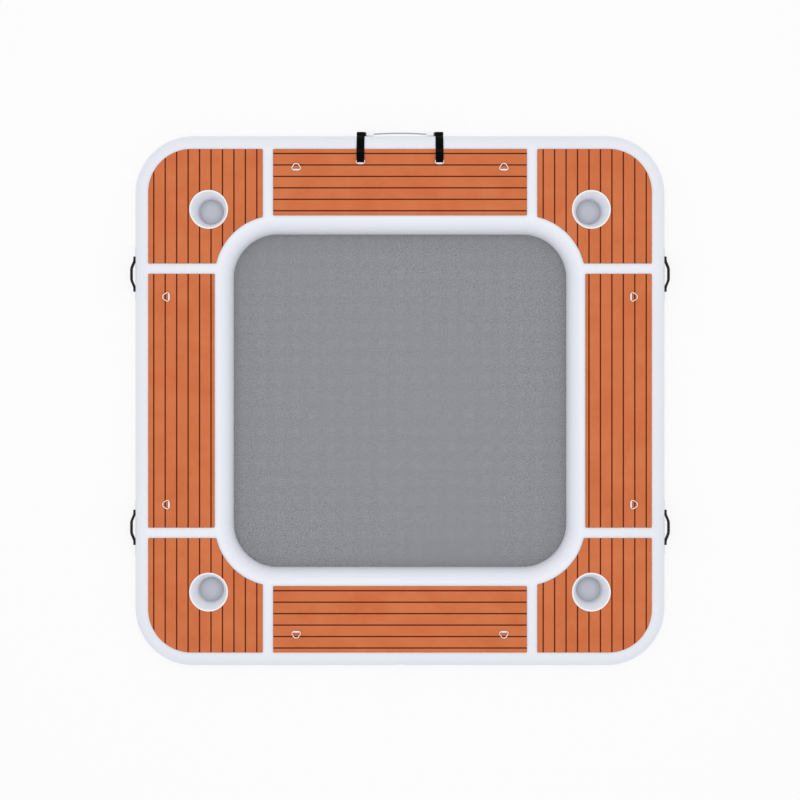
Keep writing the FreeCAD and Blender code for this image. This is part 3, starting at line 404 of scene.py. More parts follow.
@dataclass(frozen=True)
class CupPlastic(MouldedPlastic):
    """White moulded plastic of a cup: bright at the rim, with painted shade down the wall and round the
    floor.

    Attributes:
        floor: The height of the cup's floor inside.
        painted_shade_ramp: Colours of painted shade by their height over the floor: the floor itself,
        a darker line in its corner, the lower wall and the bright upper wall.
        painted_edge_shade_colour: The colour of the painted shade round the floor's edge.
        painted_edge_shade_rise: The heights over the floor at which that painted shade starts to end,
            and ends.
        middle: The cups' distance from the dock's middle, along X and along Y.
        unshaded_radius: The radius within which the floor has no painted shade.
        edge: The radius of the floor.
    """

    floor: float = 0.0
    # Painted shade: these colours darken from the bright upper wall down to the floor, darkest in its
    # corner
    painted_shade_ramp: tuple[tuple[float, str], ...] = (
        (0.0, "c0c2ca"), (1.0 * MM, "a4a8b0"), (5.0 * MM, "cdcfd8"), (40.0 * MM, "f4f6fd"),
        (90.0 * MM, "fafbff"),
    )
    painted_edge_shade_colour: str = "acb0b8"
    painted_edge_shade_rise: tuple[float, float] = (0.2 * MM, 1.0 * MM)
    middle: float = 1.0
    unshaded_radius: float = 20 * MM
    edge: float = 56 * MM

    def dress(
        self, tree: bpy.types.NodeTree, shader: bpy.types.Node, place: bpy.types.NodeSocket
    ) -> None:
        """Adds the moulded stipple, painted shade down the wall and painted shade round the floor's
        edge.

        Args:
            tree: The material's nodes.
            shader: The node that the pattern is linked to.
            place: The socket of the Object coordinates.
        """
        super().dress(tree, shader, place)
        height = add_node(tree, "ShaderNodeSeparateXYZ", inputs={"Vector": place}).outputs["Z"]
        # The wall's colour is painted shade, darker towards the floor
        wall = self.paint_wall_shade(tree, height)
        # Painted shade in a ring round the floor's edge
        edge_shade_amount = self.paint_edge_shade(tree, place)
        low = add_node(
            tree, "ShaderNodeMapRange",
            inputs={
                "Value": height, "From Min": self.floor + self.painted_edge_shade_rise[0],
                "From Max": self.floor + self.painted_edge_shade_rise[1], "To Min": 1.0, "To Max": 0.0,
            },
        )
        share = add_node(
            tree, "ShaderNodeMath", {"operation": "MULTIPLY"}, {0: edge_shade_amount, 1: low.outputs[0]}
        )
        layers = add_node(
            tree, "ShaderNodeMix", {"data_type": "RGBA"},
            {0: share.outputs[0], 6: wall, 7: linear(self.painted_edge_shade_colour)},
        )
        tree.links.new(layers.outputs[2], shader.inputs["Base Color"])

    def paint_wall_shade(
        self, tree: bpy.types.NodeTree, height: bpy.types.NodeSocket
    ) -> bpy.types.NodeSocket:
        """Blends the colours of painted shade by the height over the cup's floor.

        Args:
            tree: The material's nodes.
            height: The socket of the height.

        Returns:
            The colour's socket.
        """
        top = self.painted_shade_ramp[-1][0]
        over_floor = add_node(
            tree, "ShaderNodeMapRange",
            inputs={"Value": height, "From Min": self.floor, "From Max": self.floor + top},
        )
        wall = add_node(tree, "ShaderNodeValToRGB", inputs={"Fac": over_floor.outputs[0]})
        stops = wall.color_ramp.elements
        stops[-1].color = linear(self.painted_shade_ramp[-1][1])
        stops[0].color = linear(self.painted_shade_ramp[0][1])
        for up, colour in self.painted_shade_ramp[1:-1]:
            stops.new(up / top).color = linear(colour)
        return wall.outputs["Color"]

    def paint_edge_shade(
        self, tree: bpy.types.NodeTree, place: bpy.types.NodeSocket
    ) -> bpy.types.NodeSocket:
        """Paints shade from the unshaded middle of each cup's floor out to its edge.

        Args:
            tree: The material's nodes.
            place: The socket of the Object coordinates.

        Returns:
            The socket that says how strong the painted shade is.
        """
        # Painted shade: darker towards the floor's edge, clear in its middle
        away = place
        for operation, operand in (
            ("ABSOLUTE", None), ("SUBTRACT", (self.middle, self.middle, 0)), ("MULTIPLY", (1, 1, 0)),
        ):
            inputs = {0: away} if operand is None else {0: away, 1: operand}
            step = add_node(tree, "ShaderNodeVectorMath", {"operation": operation}, inputs)
            away = step.outputs["Vector"]
        radius = add_node(tree, "ShaderNodeVectorMath", {"operation": "LENGTH"}, {0: away})
        edge_shade_amount = add_node(
            tree, "ShaderNodeMapRange", {"interpolation_type": "SMOOTHSTEP"},
            {"Value": radius.outputs["Value"], "From Min": self.unshaded_radius, "From Max": self.edge},
        )
        return edge_shade_amount.outputs[0]


@dataclass(frozen=True)
class Rubber(MouldedPlastic):
    """Moulded rubber: near black and matt, with a dusty bloom in patches.

    Attributes:
        bloom: The colour of the bloom.
        bloom_patch: The size of its patches.
    """

    bloom: str = "1e2123"
    bloom_patch: float = 16.7 * MM

    def dress(
        self, tree: bpy.types.NodeTree, shader: bpy.types.Node, place: bpy.types.NodeSocket
    ) -> None:
        """Adds the moulded stipple, with bloom over it.

        Args:
            tree: The material's nodes.
            shader: The node that the pattern is linked to.
            place: The socket of the Object coordinates.
        """
        super().dress(tree, shader, place)
        patches = add_node(
            tree, "ShaderNodeTexNoise",
            inputs={"Vector": place, "Scale": 1 / self.bloom_patch, "Detail": 4.0},
        )
        bloomed = add_node(
            tree, "ShaderNodeMix", {"data_type": "RGBA"},
            {0: patches.outputs["Fac"], 6: linear(self.colour), 7: linear(self.bloom)},
        )
        tree.links.new(bloomed.outputs[2], shader.inputs["Base Color"])


@dataclass(frozen=True)
class MeshYarn(Finish):
    """Polyester yarn dipped in grey PVC: semi-matt and speckled, thick and thin in its coat.

    Attributes:
        shade: The grey of the yarn where the coat is thick.
        filament: The spacing of the filaments, coarser than real ones so that they show.
        filament_deep: Their relief under the coat.
        speckle: The size of the speckles.
        spread: The part of the pattern's range over which the two greys blend.
    """

    shade: str = "7b7e85"
    filament: float = 0.8 * MM
    filament_deep: float = 0.15 * MM
    speckle: float = 8 * MM
    spread: tuple[float, float] = (0.35, 0.65)

    def dress(
        self, tree: bpy.types.NodeTree, shader: bpy.types.Node, place: bpy.types.NodeSocket
    ) -> None:
        """Adds uneven greys and a lumpy coat.

        Args:
            tree: The material's nodes.
            shader: The node that the pattern is linked to.
            place: The socket of the Object coordinates.
        """
        lumps = add_node(
            tree, "ShaderNodeTexNoise",
            inputs={"Vector": place, "Scale": 1 / self.filament, "Detail": 2.0},
        )
        speckles = add_node(
            tree, "ShaderNodeTexNoise",
            inputs={"Vector": place, "Scale": 1 / self.speckle, "Detail": 4.0},
        )
        amount = add_node(
            tree, "ShaderNodeMapRange",
            inputs={
                "Value": speckles.outputs["Fac"], "From Min": self.spread[0],
                "From Max": self.spread[1],
            },
        )
        mixed = add_node(
            tree, "ShaderNodeMix", {"data_type": "RGBA"},
            {0: amount.outputs[0], 6: linear(self.colour), 7: linear(self.shade)},
        )
        tree.links.new(mixed.outputs[2], shader.inputs["Base Color"])
        coat = add_node(
            tree, "ShaderNodeBump",
            inputs={"Height": lumps.outputs["Fac"], "Distance": self.filament_deep},
        )
        tree.links.new(coat.outputs["Normal"], shader.inputs["Normal"])


@dataclass(frozen=True)
class Webbing(Finish):
    """Woven polyester webbing: black ribs along the strap, crossed by fine picks.

    Attributes:
        rib: The spacing of the ribs across the strap.
        rib_deep: Their relief.
        pick: The spacing of the picks along it.
        pick_deep: Their relief.
    """

    rib: float = 2.4 * MM
    rib_deep: float = 0.3 * MM
    pick: float = 1.4 * MM
    pick_deep: float = 0.15 * MM

    def dress(
        self, tree: bpy.types.NodeTree, shader: bpy.types.Node, place: bpy.types.NodeSocket
    ) -> None:
        """Adds ribs by the strap's width, and picks that follow it over the edge of the hull.

        Args:
            tree: The material's nodes.
            shader: The node that the pattern is linked to.
            place: The socket of the Object coordinates.
        """
        ribs = add_node(
            tree, "ShaderNodeTexWave", {"bands_direction": Axis.X.name},
            {"Vector": place, "Scale": wave_scale(self.rib)},
        )
        picks = [
            add_node(
                tree, "ShaderNodeTexWave", {"bands_direction": axis.name},
                {"Vector": place, "Scale": wave_scale(self.pick)},
            ).outputs["Fac"]
            for axis in (Axis.Y, Axis.Z)
        ]
        crossed = add_node(
            tree, "ShaderNodeMath", {"operation": "MULTIPLY"}, {0: picks[0], 1: picks[1]}
        )
        picked = add_node(
            tree, "ShaderNodeBump",
            inputs={"Height": crossed.outputs[0], "Distance": self.pick_deep},
        )
        woven = add_node(
            tree, "ShaderNodeBump",
            inputs={
                "Height": ribs.outputs["Fac"], "Distance": self.rib_deep,
                "Normal": picked.outputs["Normal"],
            },
        )
        tree.links.new(woven.outputs["Normal"], shader.inputs["Normal"])


@dataclass(frozen=True)
class Thread(Finish):
    """Bonded polyester sewing thread: dark, with a dull shine on its twist.

    Attributes:
        twist: The length of one turn of the twist.
        twist_deep: Its relief.
    """

    twist: float = 0.9 * MM
    twist_deep: float = 0.12 * MM

    def dress(
        self, tree: bpy.types.NodeTree, shader: bpy.types.Node, place: bpy.types.NodeSocket
    ) -> None:
        """Adds the twist, as fine slanted bands.

        Args:
            tree: The material's nodes.
            shader: The node that the pattern is linked to.
            place: The socket of the Object coordinates.
        """
        bands = add_node(
            tree, "ShaderNodeTexWave", {"bands_direction": "DIAGONAL"},
            {"Vector": place, "Scale": wave_scale(self.twist)},
        )
        twisted = add_node(
            tree, "ShaderNodeBump",
            inputs={"Height": bands.outputs["Fac"], "Distance": self.twist_deep},
        )
        tree.links.new(twisted.outputs["Normal"], shader.inputs["Normal"])


@dataclass(frozen=True)
class PolishedWire(Finish):
    """Stainless steel wire, welded and tumbled: bright, with a little drawn grain.

    Attributes:
        mark: The size of the marks that tumbling leaves.
        polish: The roughness of the brightest spots and of the dullest.
    """

    mark: float = 2.5 * MM
    polish: tuple[float, float] = (0.16, 0.34)

    def dress(
        self, tree: bpy.types.NodeTree, shader: bpy.types.Node, place: bpy.types.NodeSocket
    ) -> None:
        """Adds a soft unevenness to the polish.

        Args:
            tree: The material's nodes.
            shader: The node that the pattern is linked to.
            place: The socket of the Object coordinates.
        """
        marks = add_node(
            tree, "ShaderNodeTexNoise", inputs={"Vector": place, "Scale": 1 / self.mark, "Detail": 3.0}
        )
        polish = add_node(
            tree, "ShaderNodeMapRange",
            inputs={
                "Value": marks.outputs["Fac"], "To Min": self.polish[0], "To Max": self.polish[1],
            },
        )
        tree.links.new(polish.outputs[0], shader.inputs["Roughness"])


# The highest corner of the pad that the straps lie on, and the box of one cup with its wall
PAD_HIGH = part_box("deck_pad_north")[1]
CUP_LOW, CUP_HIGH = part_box("cup_holder_north_east")
CUP_WALL = 2.5 * MM

HULL_PVC = CoatedFabric("pvc_coated_drop_stitch", "edeff6", 0.42)
STRIP_PVC = CoatedFabric("pvc_pale_grey_channel_strip", "e1e4eb", 0.45, shade="d9dce3")
FOAM_ALONG_Y = DeckFoam(
    "eva_foam_planks_along_y", "d5784b", 0.85, shine=0.2, along=Axis.Y, top=PAD_HIGH.z
)
FOAM_ALONG_X = DeckFoam(
    "eva_foam_planks_along_x", "d5784b", 0.85, shine=0.2, along=Axis.X, top=PAD_HIGH.z
)
CUP_PLASTIC = CupPlastic(
    "polypropylene_white_cup", "fafbfd", 0.4, floor=CUP_LOW.z + CUP_WALL,
    middle=(CUP_LOW.x + CUP_HIGH.x) / 2,
)
GRIP_PLASTIC = MouldedPlastic("polyethylene_white_sleeve", "f4f5f7", 0.4)
ROD_COAT = MouldedPlastic("grey_vinyl_coated_rod", "a3a7a8", 0.5)
VALVE_PLASTIC = MouldedPlastic("nylon_grey_valve", "8e9197", 0.4)
PLUNGER_PLASTIC = MouldedPlastic("acetal_white_plunger", "dadce0", 0.35)
MESH_YARN = MeshYarn("pvc_dipped_polyester_yarn", "898c95", 0.6, shade="61646c")
HANDLE_RUBBER = Rubber("moulded_black_rubber", "050606", 0.6, shine=0.25, bloom="0a0b0c")
SEAL_RUBBER = Rubber("nitrile_black_rubber", "0e0f10", 0.5)
STRAP_WEBBING = Webbing("polyester_black_webbing", "030303", 0.95, shine=0.08)
STRAP_THREAD = Thread("bonded_polyester_thread", "17181a", 0.6, shine=0.3)
RING_STEEL = PolishedWire("stainless_steel_wire", "d9d7d2", 0.25, 1.0)
SPRING_STEEL = PolishedWire("stainless_spring_wire", "b9babd", 0.3, 1.0)


# Modelling

# Corners closer than this are merged, and faces that turn less than this are joined
WELD_GAP = 0.002 * MM
FLAT_ANGLE = math.radians(0.3)
# Edges sharper than the first are rounded, and than the others keep their edge in shading
BEVEL_ANGLE = math.radians(40)
SMOOTH_ANGLE = math.radians(32)
COIL_ANGLE = math.radians(50)


def select_none() -> None:
    """Deselects everything."""
    bpy.ops.object.select_all(action="DESELECT")


def select_only(piece: bpy.types.Object) -> None:
    """Deselects everything else, then selects a piece and makes it the active one.

    Args:
        piece: The piece to work on.
    """
    select_none()
    piece.select_set(True)
    bpy.context.view_layer.objects.active = piece


@contextmanager
def editing(piece: bpy.types.Object, mode: str = "FACE") -> Iterator[None]:
    """Opens a piece in edit mode and closes it again.

    Args:
        piece: The mesh object to edit.
        mode: What is selected: VERT, EDGE or FACE.

    Yields:
        Nothing, while the piece is open.
    """
    select_only(piece)
    bpy.ops.object.mode_set(mode="EDIT")
    bpy.ops.mesh.select_mode(type=mode)
    try:
        yield
    finally:
        bpy.ops.object.mode_set(mode="OBJECT")


def new_piece(name: str) -> bpy.types.Object:
    """Adds an empty mesh object at the origin, to be filled in edit mode.

    Args:
        name: The piece's name.

    Returns:
        The new piece.
    """
    piece = bpy.data.objects.new(name, bpy.data.meshes.new(name))
    bpy.context.scene.collection.objects.link(piece)
    return piece


def copy_of_node(node: str, name: str, flats: bool = True) -> bpy.types.Object:
    """Copies a CAD node's mesh and merges its loose triangles.

    Args:
        node: The CAD node's name.
        name: The new piece's name.
        flats: Whether triangles in one plane are joined into one face.

    Returns:
        The new piece.
    """
    piece = new_piece(name)
    piece.data = frame["nodes"][node].data.copy()
    piece.data.materials.clear()
    with editing(piece, "VERT"):
        bpy.ops.mesh.select_all(action="SELECT")
        bpy.ops.mesh.remove_doubles(threshold=WELD_GAP)
        if flats:
            bpy.ops.mesh.dissolve_limited(angle_limit=FLAT_ANGLE)
        bpy.ops.mesh.customdata_custom_splitnormals_clear()
    return piece


def soften_edges(piece: bpy.types.Object, width: float, segments: int = 2) -> None:
    """Rounds a piece's sharp edges with a bevel that is applied, and shades it smooth.

    Args:
        piece: The piece.
        width: The width of the bevel.
        segments: The number of faces across it.
    """
    select_only(piece)
    bevel = piece.modifiers.new("Rounding", "BEVEL")
    bevel.limit_method = "ANGLE"
    bevel.angle_limit = BEVEL_ANGLE
    bevel.width = width
    bevel.segments = segments
    bevel.use_clamp_overlap = True
    bpy.ops.object.modifier_apply(modifier=bevel.name)
    bpy.ops.object.shade_smooth_by_angle(angle=SMOOTH_ANGLE)


def finish_piece(
    piece: bpy.types.Object, finish: Finish, replaces: str | None = None,
    body: str = "dock",
) -> None:
    """Puts a piece's material in its one slot, attaches it to its body, and hides the CAD node that it
    stands for.

    Args:
        piece: The finished mesh object.
        finish: What it is made of.
        replaces: The CAD node that it stands for, if any.
        body: The CAD body that it rides on.
    """
    piece.data.materials.clear()
    piece.data.materials.append(finish.material())
    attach(piece, body)
    if replaces:
        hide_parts(replaces)


def dress_node(node: str, finish: Finish) -> None:
    """Assigns a finish to a CAD node that keeps its own shape.

    Args:
        node: The CAD node's name.
        finish: What it is made of.
    """
    piece = frame["nodes"][node]
    material = finish.material()
    if not piece.material_slots:
        piece.data.materials.append(material)
    for material_slot in piece.material_slots:
        material_slot.material = material


def nodes_named(*starts: str) -> list[str]:
    """The CAD nodes whose names start in one of these ways, in order."""
    return sorted(name for name in frame["nodes"] if name.startswith(starts))


# Sub-assemblies of the dock


@dataclass
class Hull:
    """The air chamber, with the weld strips along its outer wall.

    Attributes:
        strip_wide: How far each weld strip reaches up the wall.
        strip_thick: The strip's thickness.
        strip_lows: The height of each strip's lower edge.
        wall_margin: How far inside the pads' outer edge the outer wall's faces can start.
        corner_reach: The distance from the middle past which a face is on a corner's wall.
        outward: How far a face of the outer wall looks away from the middle, at the least.
    """

    strip_wide: float = 18 * MM
    strip_thick: float = 0.9 * MM
    strip_lows: tuple[float, ...] = (22 * MM, 110 * MM)
    wall_margin: float = 40 * MM
    corner_reach: float = 1.45
    outward: float = 0.3

    def build(self) -> None:
        """Draws the skin taut over the bulged walls, and lays the weld strips on it."""
        skin = copy_of_node("hull", "drop_stitch_skin", flats=False)
        select_only(skin)
        bpy.ops.object.shade_smooth_by_angle(angle=SMOOTH_ANGLE)
        even = skin.modifiers.new("EvenNormals", "WEIGHTED_NORMAL")
        even.keep_sharp = True
        bpy.ops.object.modifier_apply(modifier=even.name)
        finish_piece(skin, HULL_PVC, "hull")
        for node in nodes_named("handle_patch", "ring_tab", "strap_tab"):
            dress_node(node, HULL_PVC)
        for number, low in enumerate(self.strip_lows, start=1):
            self.weld_strip(f"weld_strip_{number}", low)

    def weld_strip(self, name: str, low: float) -> None:
        """Cuts a band out of a copy of the outer wall and gives it its thickness.

        Args:
            name: The piece's name.
            low: The height of its lower edge.
        """
        piece = copy_of_node("hull", name)
        with editing(piece):
            for height, above in ((low, False), (low + self.strip_wide, True)):
                bpy.ops.mesh.select_all(action="SELECT")
                bpy.ops.mesh.bisect(
                    plane_co=(0, 0, height), plane_no=(0, 0, 1), clear_outer=above,
                    clear_inner=not above,
                )
        for face in piece.data.polygons:
            face.select = not self.is_outer_wall(face)
        with editing(piece):
            bpy.ops.mesh.delete(type="FACE")
        select_only(piece)
        wall = piece.modifiers.new("Wall", "SOLIDIFY")
        wall.thickness = self.strip_thick
        wall.offset = 1.0
        bpy.ops.object.modifier_apply(modifier=wall.name)
        bpy.ops.object.shade_smooth_by_angle(angle=SMOOTH_ANGLE)
        finish_piece(piece, HULL_PVC)

    def is_outer_wall(self, face: bpy.types.MeshPolygon) -> bool:
        """Tells the outer wall from the pool's wall and the cups' wells.

        Args:
            face: A face of the hull between the deck and the ground.

        Returns:
            Whether it is on the outer wall.
        """
        middle = Vector((face.center.x, face.center.y, 0))
        side = max(abs(middle.x), abs(middle.y)) > PAD_HIGH.y - self.wall_margin
        corner = middle.length > self.corner_reach
        return (side or corner) and face.normal.dot(middle.normalized()) > self.outward


@dataclass
class Deck:
    """The foam pads and the cup holders between them.

    Attributes:
        edge_round: The rounding that the cutter leaves along the foam's edges.
    """

    edge_round: float = 0.5 * MM

    def build(self) -> None:
        """Models each pad with rounded edges, and dresses the cups."""
        for node in nodes_named("deck_pad"):
            pad = copy_of_node(node, node.replace("deck_pad", "foam_pad"))
            soften_edges(pad, self.edge_round)
            along_x = node in ("deck_pad_north", "deck_pad_south")
            finish_piece(pad, FOAM_ALONG_X if along_x else FOAM_ALONG_Y, node)
        for node in nodes_named("cup_holder"):
            dress_node(node, CUP_PLASTIC)


@dataclass
class PoolFloor:
    """The mesh across the opening, laid from crossed yarns, and the strip that holds its edge.

    Attributes:
        pitch: The spacing of the yarns.
        yarn_wide: A yarn's width.
        yarn_thick: A yarn's thickness.
        overlap: How deep the two layers of yarn are fused.
        lift: How far the yarns lie above the underside of the panel's solid.
        straight: How far the panel's straight edges reach from their middle to the corners.
        half: Half of the panel's side.
        corner: The radius of its corners.
        low: The height of the lower layer's underside.
    """

    pitch: float = 4.4 * MM
    yarn_wide: float = 2.45 * MM
    yarn_thick: float = 0.8 * MM
    overlap: float = 0.1 * MM
    lift: float = 0.7 * MM
    straight: float = 564 * MM
    half: float = field(init=False)
    corner: float = field(init=False)
    low: float = field(init=False)

    def __post_init__(self) -> None:
        """Takes the panel's size and place from its CAD node."""
        lowest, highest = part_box("mesh_floor")
        self.half = highest.x
        self.corner = self.half - self.straight
        self.low = lowest.z + self.lift

    def build(self) -> None:
        dress_node("mesh_border", STRIP_PVC)
        piece = new_piece("mesh_panel")
        count = int(self.half / self.pitch)
        with editing(piece):
            for number in range(-count, count + 1):
                place = number * self.pitch
                reach = self.reach_at(abs(place) + self.yarn_wide / 2)
                self.yarn((place, 0), (self.yarn_wide, 2 * reach), 0)
                self.yarn((0, place), (2 * reach, self.yarn_wide), 1)
        finish_piece(piece, MESH_YARN, "mesh_floor")

    def reach_at(self, place: float) -> float:
        """Finds how far a yarn runs from the middle before it meets the rounded edge.

        Args:
            place: The yarn's distance from the panel's middle line.

        Returns:
            Half of the yarn's length.
        """
        past = place - (self.half - self.corner)
        if past <= 0:
            return self.half
        return self.half - self.corner + math.sqrt(max(self.corner ** 2 - past ** 2, 0))

    def yarn(self, centre: tuple[float, float], size: tuple[float, float], layer: int) -> None:
        """Adds one yarn to the mesh that is being edited.

        Args:
            centre: Its middle, seen from above.
            size: Its lengths along X and Y.
            layer: 0 for the lower layer and 1 for the upper one.
        """
        height = self.low + (layer + 0.5) * self.yarn_thick - layer * self.overlap
        bpy.ops.mesh.primitive_cube_add(
            size=1, location=(*centre, height), scale=(*size, self.yarn_thick)
        )


@dataclass
class BoardingBar:
    """The bar on its two webbing straps, which are sewn through both plies.

    Attributes:
        edge_round: The rounding of the webbing's selvedge.
        stitch_long: The length of a stitch.
        stitch_gap: The gap between two stitches.
        thread: The thread's width.
        seam_margin: The distance of the sewn box from the webbing's edges.
        tack_height: The height of the bar tack above the ground, over the bar's loop.
        tack_spacing: The spacing of the bar tack's stitches.
        level: How squarely a face of the strap looks up where the box is sewn, at the least.
        slope: How far a face looks up and outwards where the bar tack is sewn, at the least.
    """

    edge_round: float = 0.45 * MM
    stitch_long: float = 3.2 * MM
    stitch_gap: float = 1.0 * MM
    thread: float = 0.9 * MM
    seam_margin: float = 3.5 * MM
    tack_height: float = 116 * MM
    tack_spacing: float = 1.5 * MM
    level: float = 0.999
    slope: float = 0.2

    def build(self) -> None:
        """Models the straps' webbing and seams, and dresses the bar, sleeves and bushes."""
        for node in nodes_named("bar_strap"):
            strap = copy_of_node(node, node.replace("bar_strap", "webbing_strap"))
            self.sew(strap, node.replace("bar_strap", "strap_stitches"))
            soften_edges(strap, self.edge_round)
            finish_piece(strap, STRAP_WEBBING, node)
        for node in nodes_named("bar_sleeve"):
            dress_node(node, GRIP_PLASTIC)
        dress_node("boarding_bar", ROD_COAT)
        for node in nodes_named("bar_bush"):
            dress_node(node, SEAL_RUBBER)

    def sew(self, strap: bpy.types.Object, name: str) -> None:
        """Sews a crossed box on the strap's flat top and a bar tack above the bar's loop.

        Args:
            strap: The strap before its edges are rounded.
            name: The name of the stitches' piece.
        """
        box = self.seam_box(strap)
        seams = [(box[0], box[1]), (box[1], box[2]), (box[2], box[3]), (box[3], box[0])]
        seams += [(box[0], box[2]), (box[1], box[3])]
        piece = new_piece(name)
        with editing(piece):
            for start, end in seams:
                self.seam(start, end)
            self.bar_tack(strap, (box[0].x + box[1].x) / 2, (box[1].x - box[0].x) / 2)
        soften_edges(piece, self.thread / 4, 1)
        finish_piece(piece, STRAP_THREAD)

    def seam_box(self, strap: bpy.types.Object) -> list[Vector]:
        """Finds the sewn box on the strap's outermost level face.

        Args:
            strap: The strap before its edges are rounded.

        Returns:
            The box's four corners in order.
        """
        levels = [
            face for face in strap.data.polygons
            if face.normal.z > self.level and face.center.z > PAD_HIGH.z
        ]
        flat = max(levels, key=lambda face: face.center.y)
        corners = [strap.data.vertices[index].co for index in flat.vertices]
        lows, highs = (
            [pick(corner[axis] for corner in corners) for axis in (0, 1)] for pick in (min, max)
        )
        reach = [(high - low) / 2 - self.seam_margin for low, high in zip(lows, highs)]
        middle = [(high + low) / 2 for low, high in zip(lows, highs)]
        return [
            Vector((middle[0] + across * reach[0], middle[1] + along * reach[1], flat.center.z))
            for across, along in ((-1, -1), (1, -1), (1, 1), (-1, 1))
        ]

    def bar_tack(self, strap: bpy.types.Object, middle: float, reach: float) -> None:
        """Sews a row of stitches that stand side by side across the strap.

        Args:
            strap: The strap before its edges are rounded.
            middle: The strap's middle along X.
            reach: How far the row runs from there to each side.
        """
        outer = [
            face for face in strap.data.polygons
            if face.normal.y > self.slope and face.normal.z > self.slope
        ]
        bed = min(outer, key=lambda face: abs(face.center.z - self.tack_height))
        count = int(reach / self.tack_spacing)
        for number in range(-count, count + 1):
            place = Vector((middle + number * self.tack_spacing, *bed.center.yz))
            self.stitch(place, math.pi / 2, math.atan2(-bed.normal.y, bed.normal.z))

    def seam(self, start: Vector, end: Vector) -> None:
        """Sews one straight seam on level webbing.

        Args:
            start: Its first end.
            end: Its last end.
        """
        run = end - start
        count = max(int(run.length / (self.stitch_long + self.stitch_gap)), 1)
        for number in range(count):
            place = start + run * (number + 0.5) / count
            self.stitch(place, math.atan2(run.y, run.x), 0.0)

    def stitch(self, place: Vector, turn: float, tilt: float) -> None:
        """Adds one stitch to the piece that is being edited.

        Args:
            place: Its middle, on the webbing.
            turn: Its direction on the webbing.
            tilt: How far the webbing leans about X there.
        """
        turned = Matrix.Rotation(tilt, 3, "X") @ Matrix.Rotation(turn, 3, "Z")
        bpy.ops.mesh.primitive_cube_add(
            size=1, location=place, rotation=turned.to_euler(),
            scale=(self.stitch_long, self.thread, self.thread),
        )


@dataclass
class Fittings:
    """Rings, side handles and the inflation valve, which keep their CAD shapes.

    Attributes:
        plunger_travel: How far the valve's plunger goes in against its spring; not used.
    """

    plunger_travel: float = 6 * MM

    def build(self) -> None:
        """Dresses each fitting with what it is made of, and puts a smooth-shaded copy in place of the
        spring.
        """
        finishes = {
            ("deck_ring", "strap_ring"): RING_STEEL,
            ("side_handle",): HANDLE_RUBBER,
            ("valve_body", "valve_cap"): VALVE_PLASTIC,
            ("valve_plunger",): PLUNGER_PLASTIC,
            ("valve_seal",): SEAL_RUBBER,
        }
        for starts, finish in finishes.items():
            for node in nodes_named(*starts):
                dress_node(node, finish)
        self.wind_spring()

    def wind_spring(self) -> None:
        """Makes the valve's spring as a smooth-shaded copy of its CAD node."""
        spring = copy_of_node("valve_spring", "valve_coil", flats=False)
        select_only(spring)
        bpy.ops.object.shade_smooth_by_angle(angle=COIL_ANGLE)
        finish_piece(spring, SPRING_STEEL, "valve_spring")
        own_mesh(spring)


# Studio


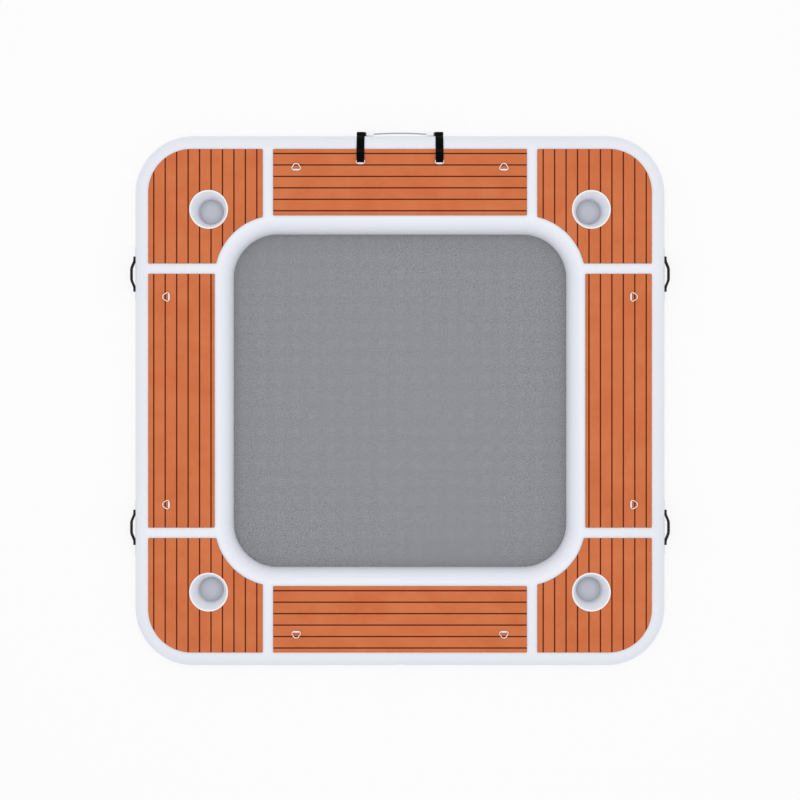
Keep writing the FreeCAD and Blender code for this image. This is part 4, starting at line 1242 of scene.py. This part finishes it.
@dataclass
class Studio:
    """The white floor, the soft light and the camera straight above the dock.

    Attributes:
        eye_high: The camera's height over the floor.
        eye_across: The camera's place along Y.
        eye_sight: How far the camera sees.
        lens: The lens in millimetres on a 36 mm sensor.
        floor_half: Half the floor's side.
        paper: The colour of the floor's paper.
        floor_glow: How much of the floor's own white the camera sees.
        under_glow: The same, below the dock, where it is painted light in the dock's shadow, seen
            through the mesh.
        under_half: How far the floor below the dock reaches from its middle.
        world_light: The strength of the light from all round.
        lamp_place: Where the soft box hangs.
        lamp_side: Its side.
        lamp_power: Its power in watts.
    """

    eye_high: float = 7.36
    eye_across: float = 3.4 * MM
    eye_sight: float = 200.0
    lens: float = 71.0
    floor_half: float = 40.0
    paper: str = "f9f9f9"
    floor_glow: float = 0.72
    under_glow: float = 0.48
    under_half: float = 1.0
    world_light: float = 0.80
    lamp_place: tuple[float, float, float] = (0.0, 0.4, 8.0)
    lamp_side: float = 5.0
    lamp_power: float = 145.0

    def build(self) -> None:
        """Sets up the camera, the world, the lamp and the floor."""
        scene = bpy.context.scene
        scene.view_settings.view_transform = "Standard"
        data = bpy.data.cameras.new("Camera")
        data.lens = self.lens
        data.clip_end = self.eye_sight
        camera = bpy.data.objects.new("Camera", data)
        camera.location = (0, self.eye_across, self.eye_high)
        scene.collection.objects.link(camera)
        scene.camera = camera
        self.light_world(scene)
        self.hang_soft_box(scene)
        self.lay_floor()

    def background_rays(self, tree: bpy.types.NodeTree) -> bpy.types.NodeSocket:
        """Tells the rays that show the background: the camera's, glossy and transmitted ones.

        Args:
            tree: The nodes of the world or of the floor's paper.

        Returns:
            A socket that is 1 for these rays and 0 for the others.
        """
        rays = add_node(tree, "ShaderNodeLightPath").outputs
        seen = rays["Is Camera Ray"]
        for ray in ("Is Glossy Ray", "Is Transmission Ray"):
            seen = add_node(
                tree, "ShaderNodeMath", {"operation": "MAXIMUM"}, {0: seen, 1: rays[ray]}
            ).outputs[0]
        return seen

    def light_world(self, scene: bpy.types.Scene) -> None:
        """Makes a white world to the eye, which lights the dock at a plain level.

        Args:
            scene: The scene that gets the world.
        """
        world = bpy.data.worlds.new("studio")
        scene.world = world
        tree = empty_tree(world)
        seen = add_node(tree, "ShaderNodeBackground", inputs={"Color": WHITE, "Strength": 1.0})
        light = add_node(
            tree, "ShaderNodeBackground", inputs={"Color": WHITE, "Strength": self.world_light}
        )
        mix = add_node(
            tree, "ShaderNodeMixShader",
            inputs={0: self.background_rays(tree), 1: light.outputs[0], 2: seen.outputs[0]},
        )
        add_node(tree, "ShaderNodeOutputWorld", inputs={"Surface": mix.outputs[0]})

    def hang_soft_box(self, scene: bpy.types.Scene) -> None:
        """Hangs a square soft box that points at the dock's middle.

        Args:
            scene: The scene that it lights.
        """
        data = bpy.data.lights.new("overhead", "AREA")
        data.size = self.lamp_side
        data.energy = self.lamp_power
        lamp = bpy.data.objects.new("overhead", data)
        lamp.location = self.lamp_place
        lamp.rotation_euler = (-Vector(self.lamp_place)).to_track_quat("-Z", "Y").to_euler()
        scene.collection.objects.link(lamp)

    def lay_floor(self) -> None:
        """Lays white paper that keeps the dock's shadow, with a weaker glow under the open mesh that
        paints light into that shadow.
        """
        select_none()
        bpy.ops.mesh.primitive_plane_add(size=2 * self.floor_half, location=(0, 0, 0))
        floor = bpy.context.active_object
        floor.name = "studio_floor"
        material = bpy.data.materials.new("white_backdrop_paper")
        tree = empty_tree(material)
        paper = add_node(tree, "ShaderNodeBsdfDiffuse", inputs={"Color": linear(self.paper)})
        glow = add_node(tree, "ShaderNodeEmission", inputs={"Color": WHITE, "Strength": 1.0})
        share = add_node(
            tree, "ShaderNodeMath", {"operation": "MULTIPLY"},
            {0: self.background_rays(tree), 1: self.glow_by_place(tree)},
        )
        mix = add_node(
            tree, "ShaderNodeMixShader",
            inputs={0: share.outputs[0], 1: paper.outputs[0], 2: glow.outputs[0]},
        )
        add_node(tree, "ShaderNodeOutputMaterial", inputs={"Surface": mix.outputs[0]})
        floor.data.materials.append(material)

    def glow_by_place(self, tree: bpy.types.NodeTree) -> bpy.types.NodeSocket:
        """Gives the paper's glow, which is weaker in the square below the dock and there paints light
        into the dock's shadow.

        Args:
            tree: The nodes of the floor's paper.

        Returns:
            The socket of the glow's strength.
        """
        place = add_node(tree, "ShaderNodeTexCoord").outputs["Object"]
        spot = add_node(tree, "ShaderNodeSeparateXYZ", inputs={"Vector": place})
        reach = [
            add_node(tree, "ShaderNodeMath", {"operation": "ABSOLUTE"}, {0: spot.outputs[axis]})
            for axis in ("X", "Y")
        ]
        outmost = add_node(
            tree, "ShaderNodeMath", {"operation": "MAXIMUM"},
            {0: reach[0].outputs[0], 1: reach[1].outputs[0]},
        )
        outside = add_node(
            tree, "ShaderNodeMath", {"operation": "GREATER_THAN"},
            {0: outmost.outputs[0], 1: self.under_half},
        )
        # Below the dock the glow is painted light, seen through the mesh in the dock's shadow
        strength = add_node(
            tree, "ShaderNodeMapRange",
            inputs={
                "Value": outside.outputs[0], "To Min": self.under_glow, "To Max": self.floor_glow,
            },
        )
        return strength.outputs[0]


def main() -> None:
    """Builds the studio and the dock's sub-assemblies in order, and reports each piece."""
    logging.basicConfig(level=logging.INFO, format="%(message)s")
    for part in (Studio(), Hull(), Deck(), PoolFloor(), BoardingBar(), Fittings()):
        before = set(bpy.data.objects)
        part.build()
        made = sorted(item.name for item in bpy.data.objects if item not in before)
        log.info("%s: %s", type(part).__name__, ", ".join(made) or "CAD nodes only")


if __name__ == "__main__":
    main()
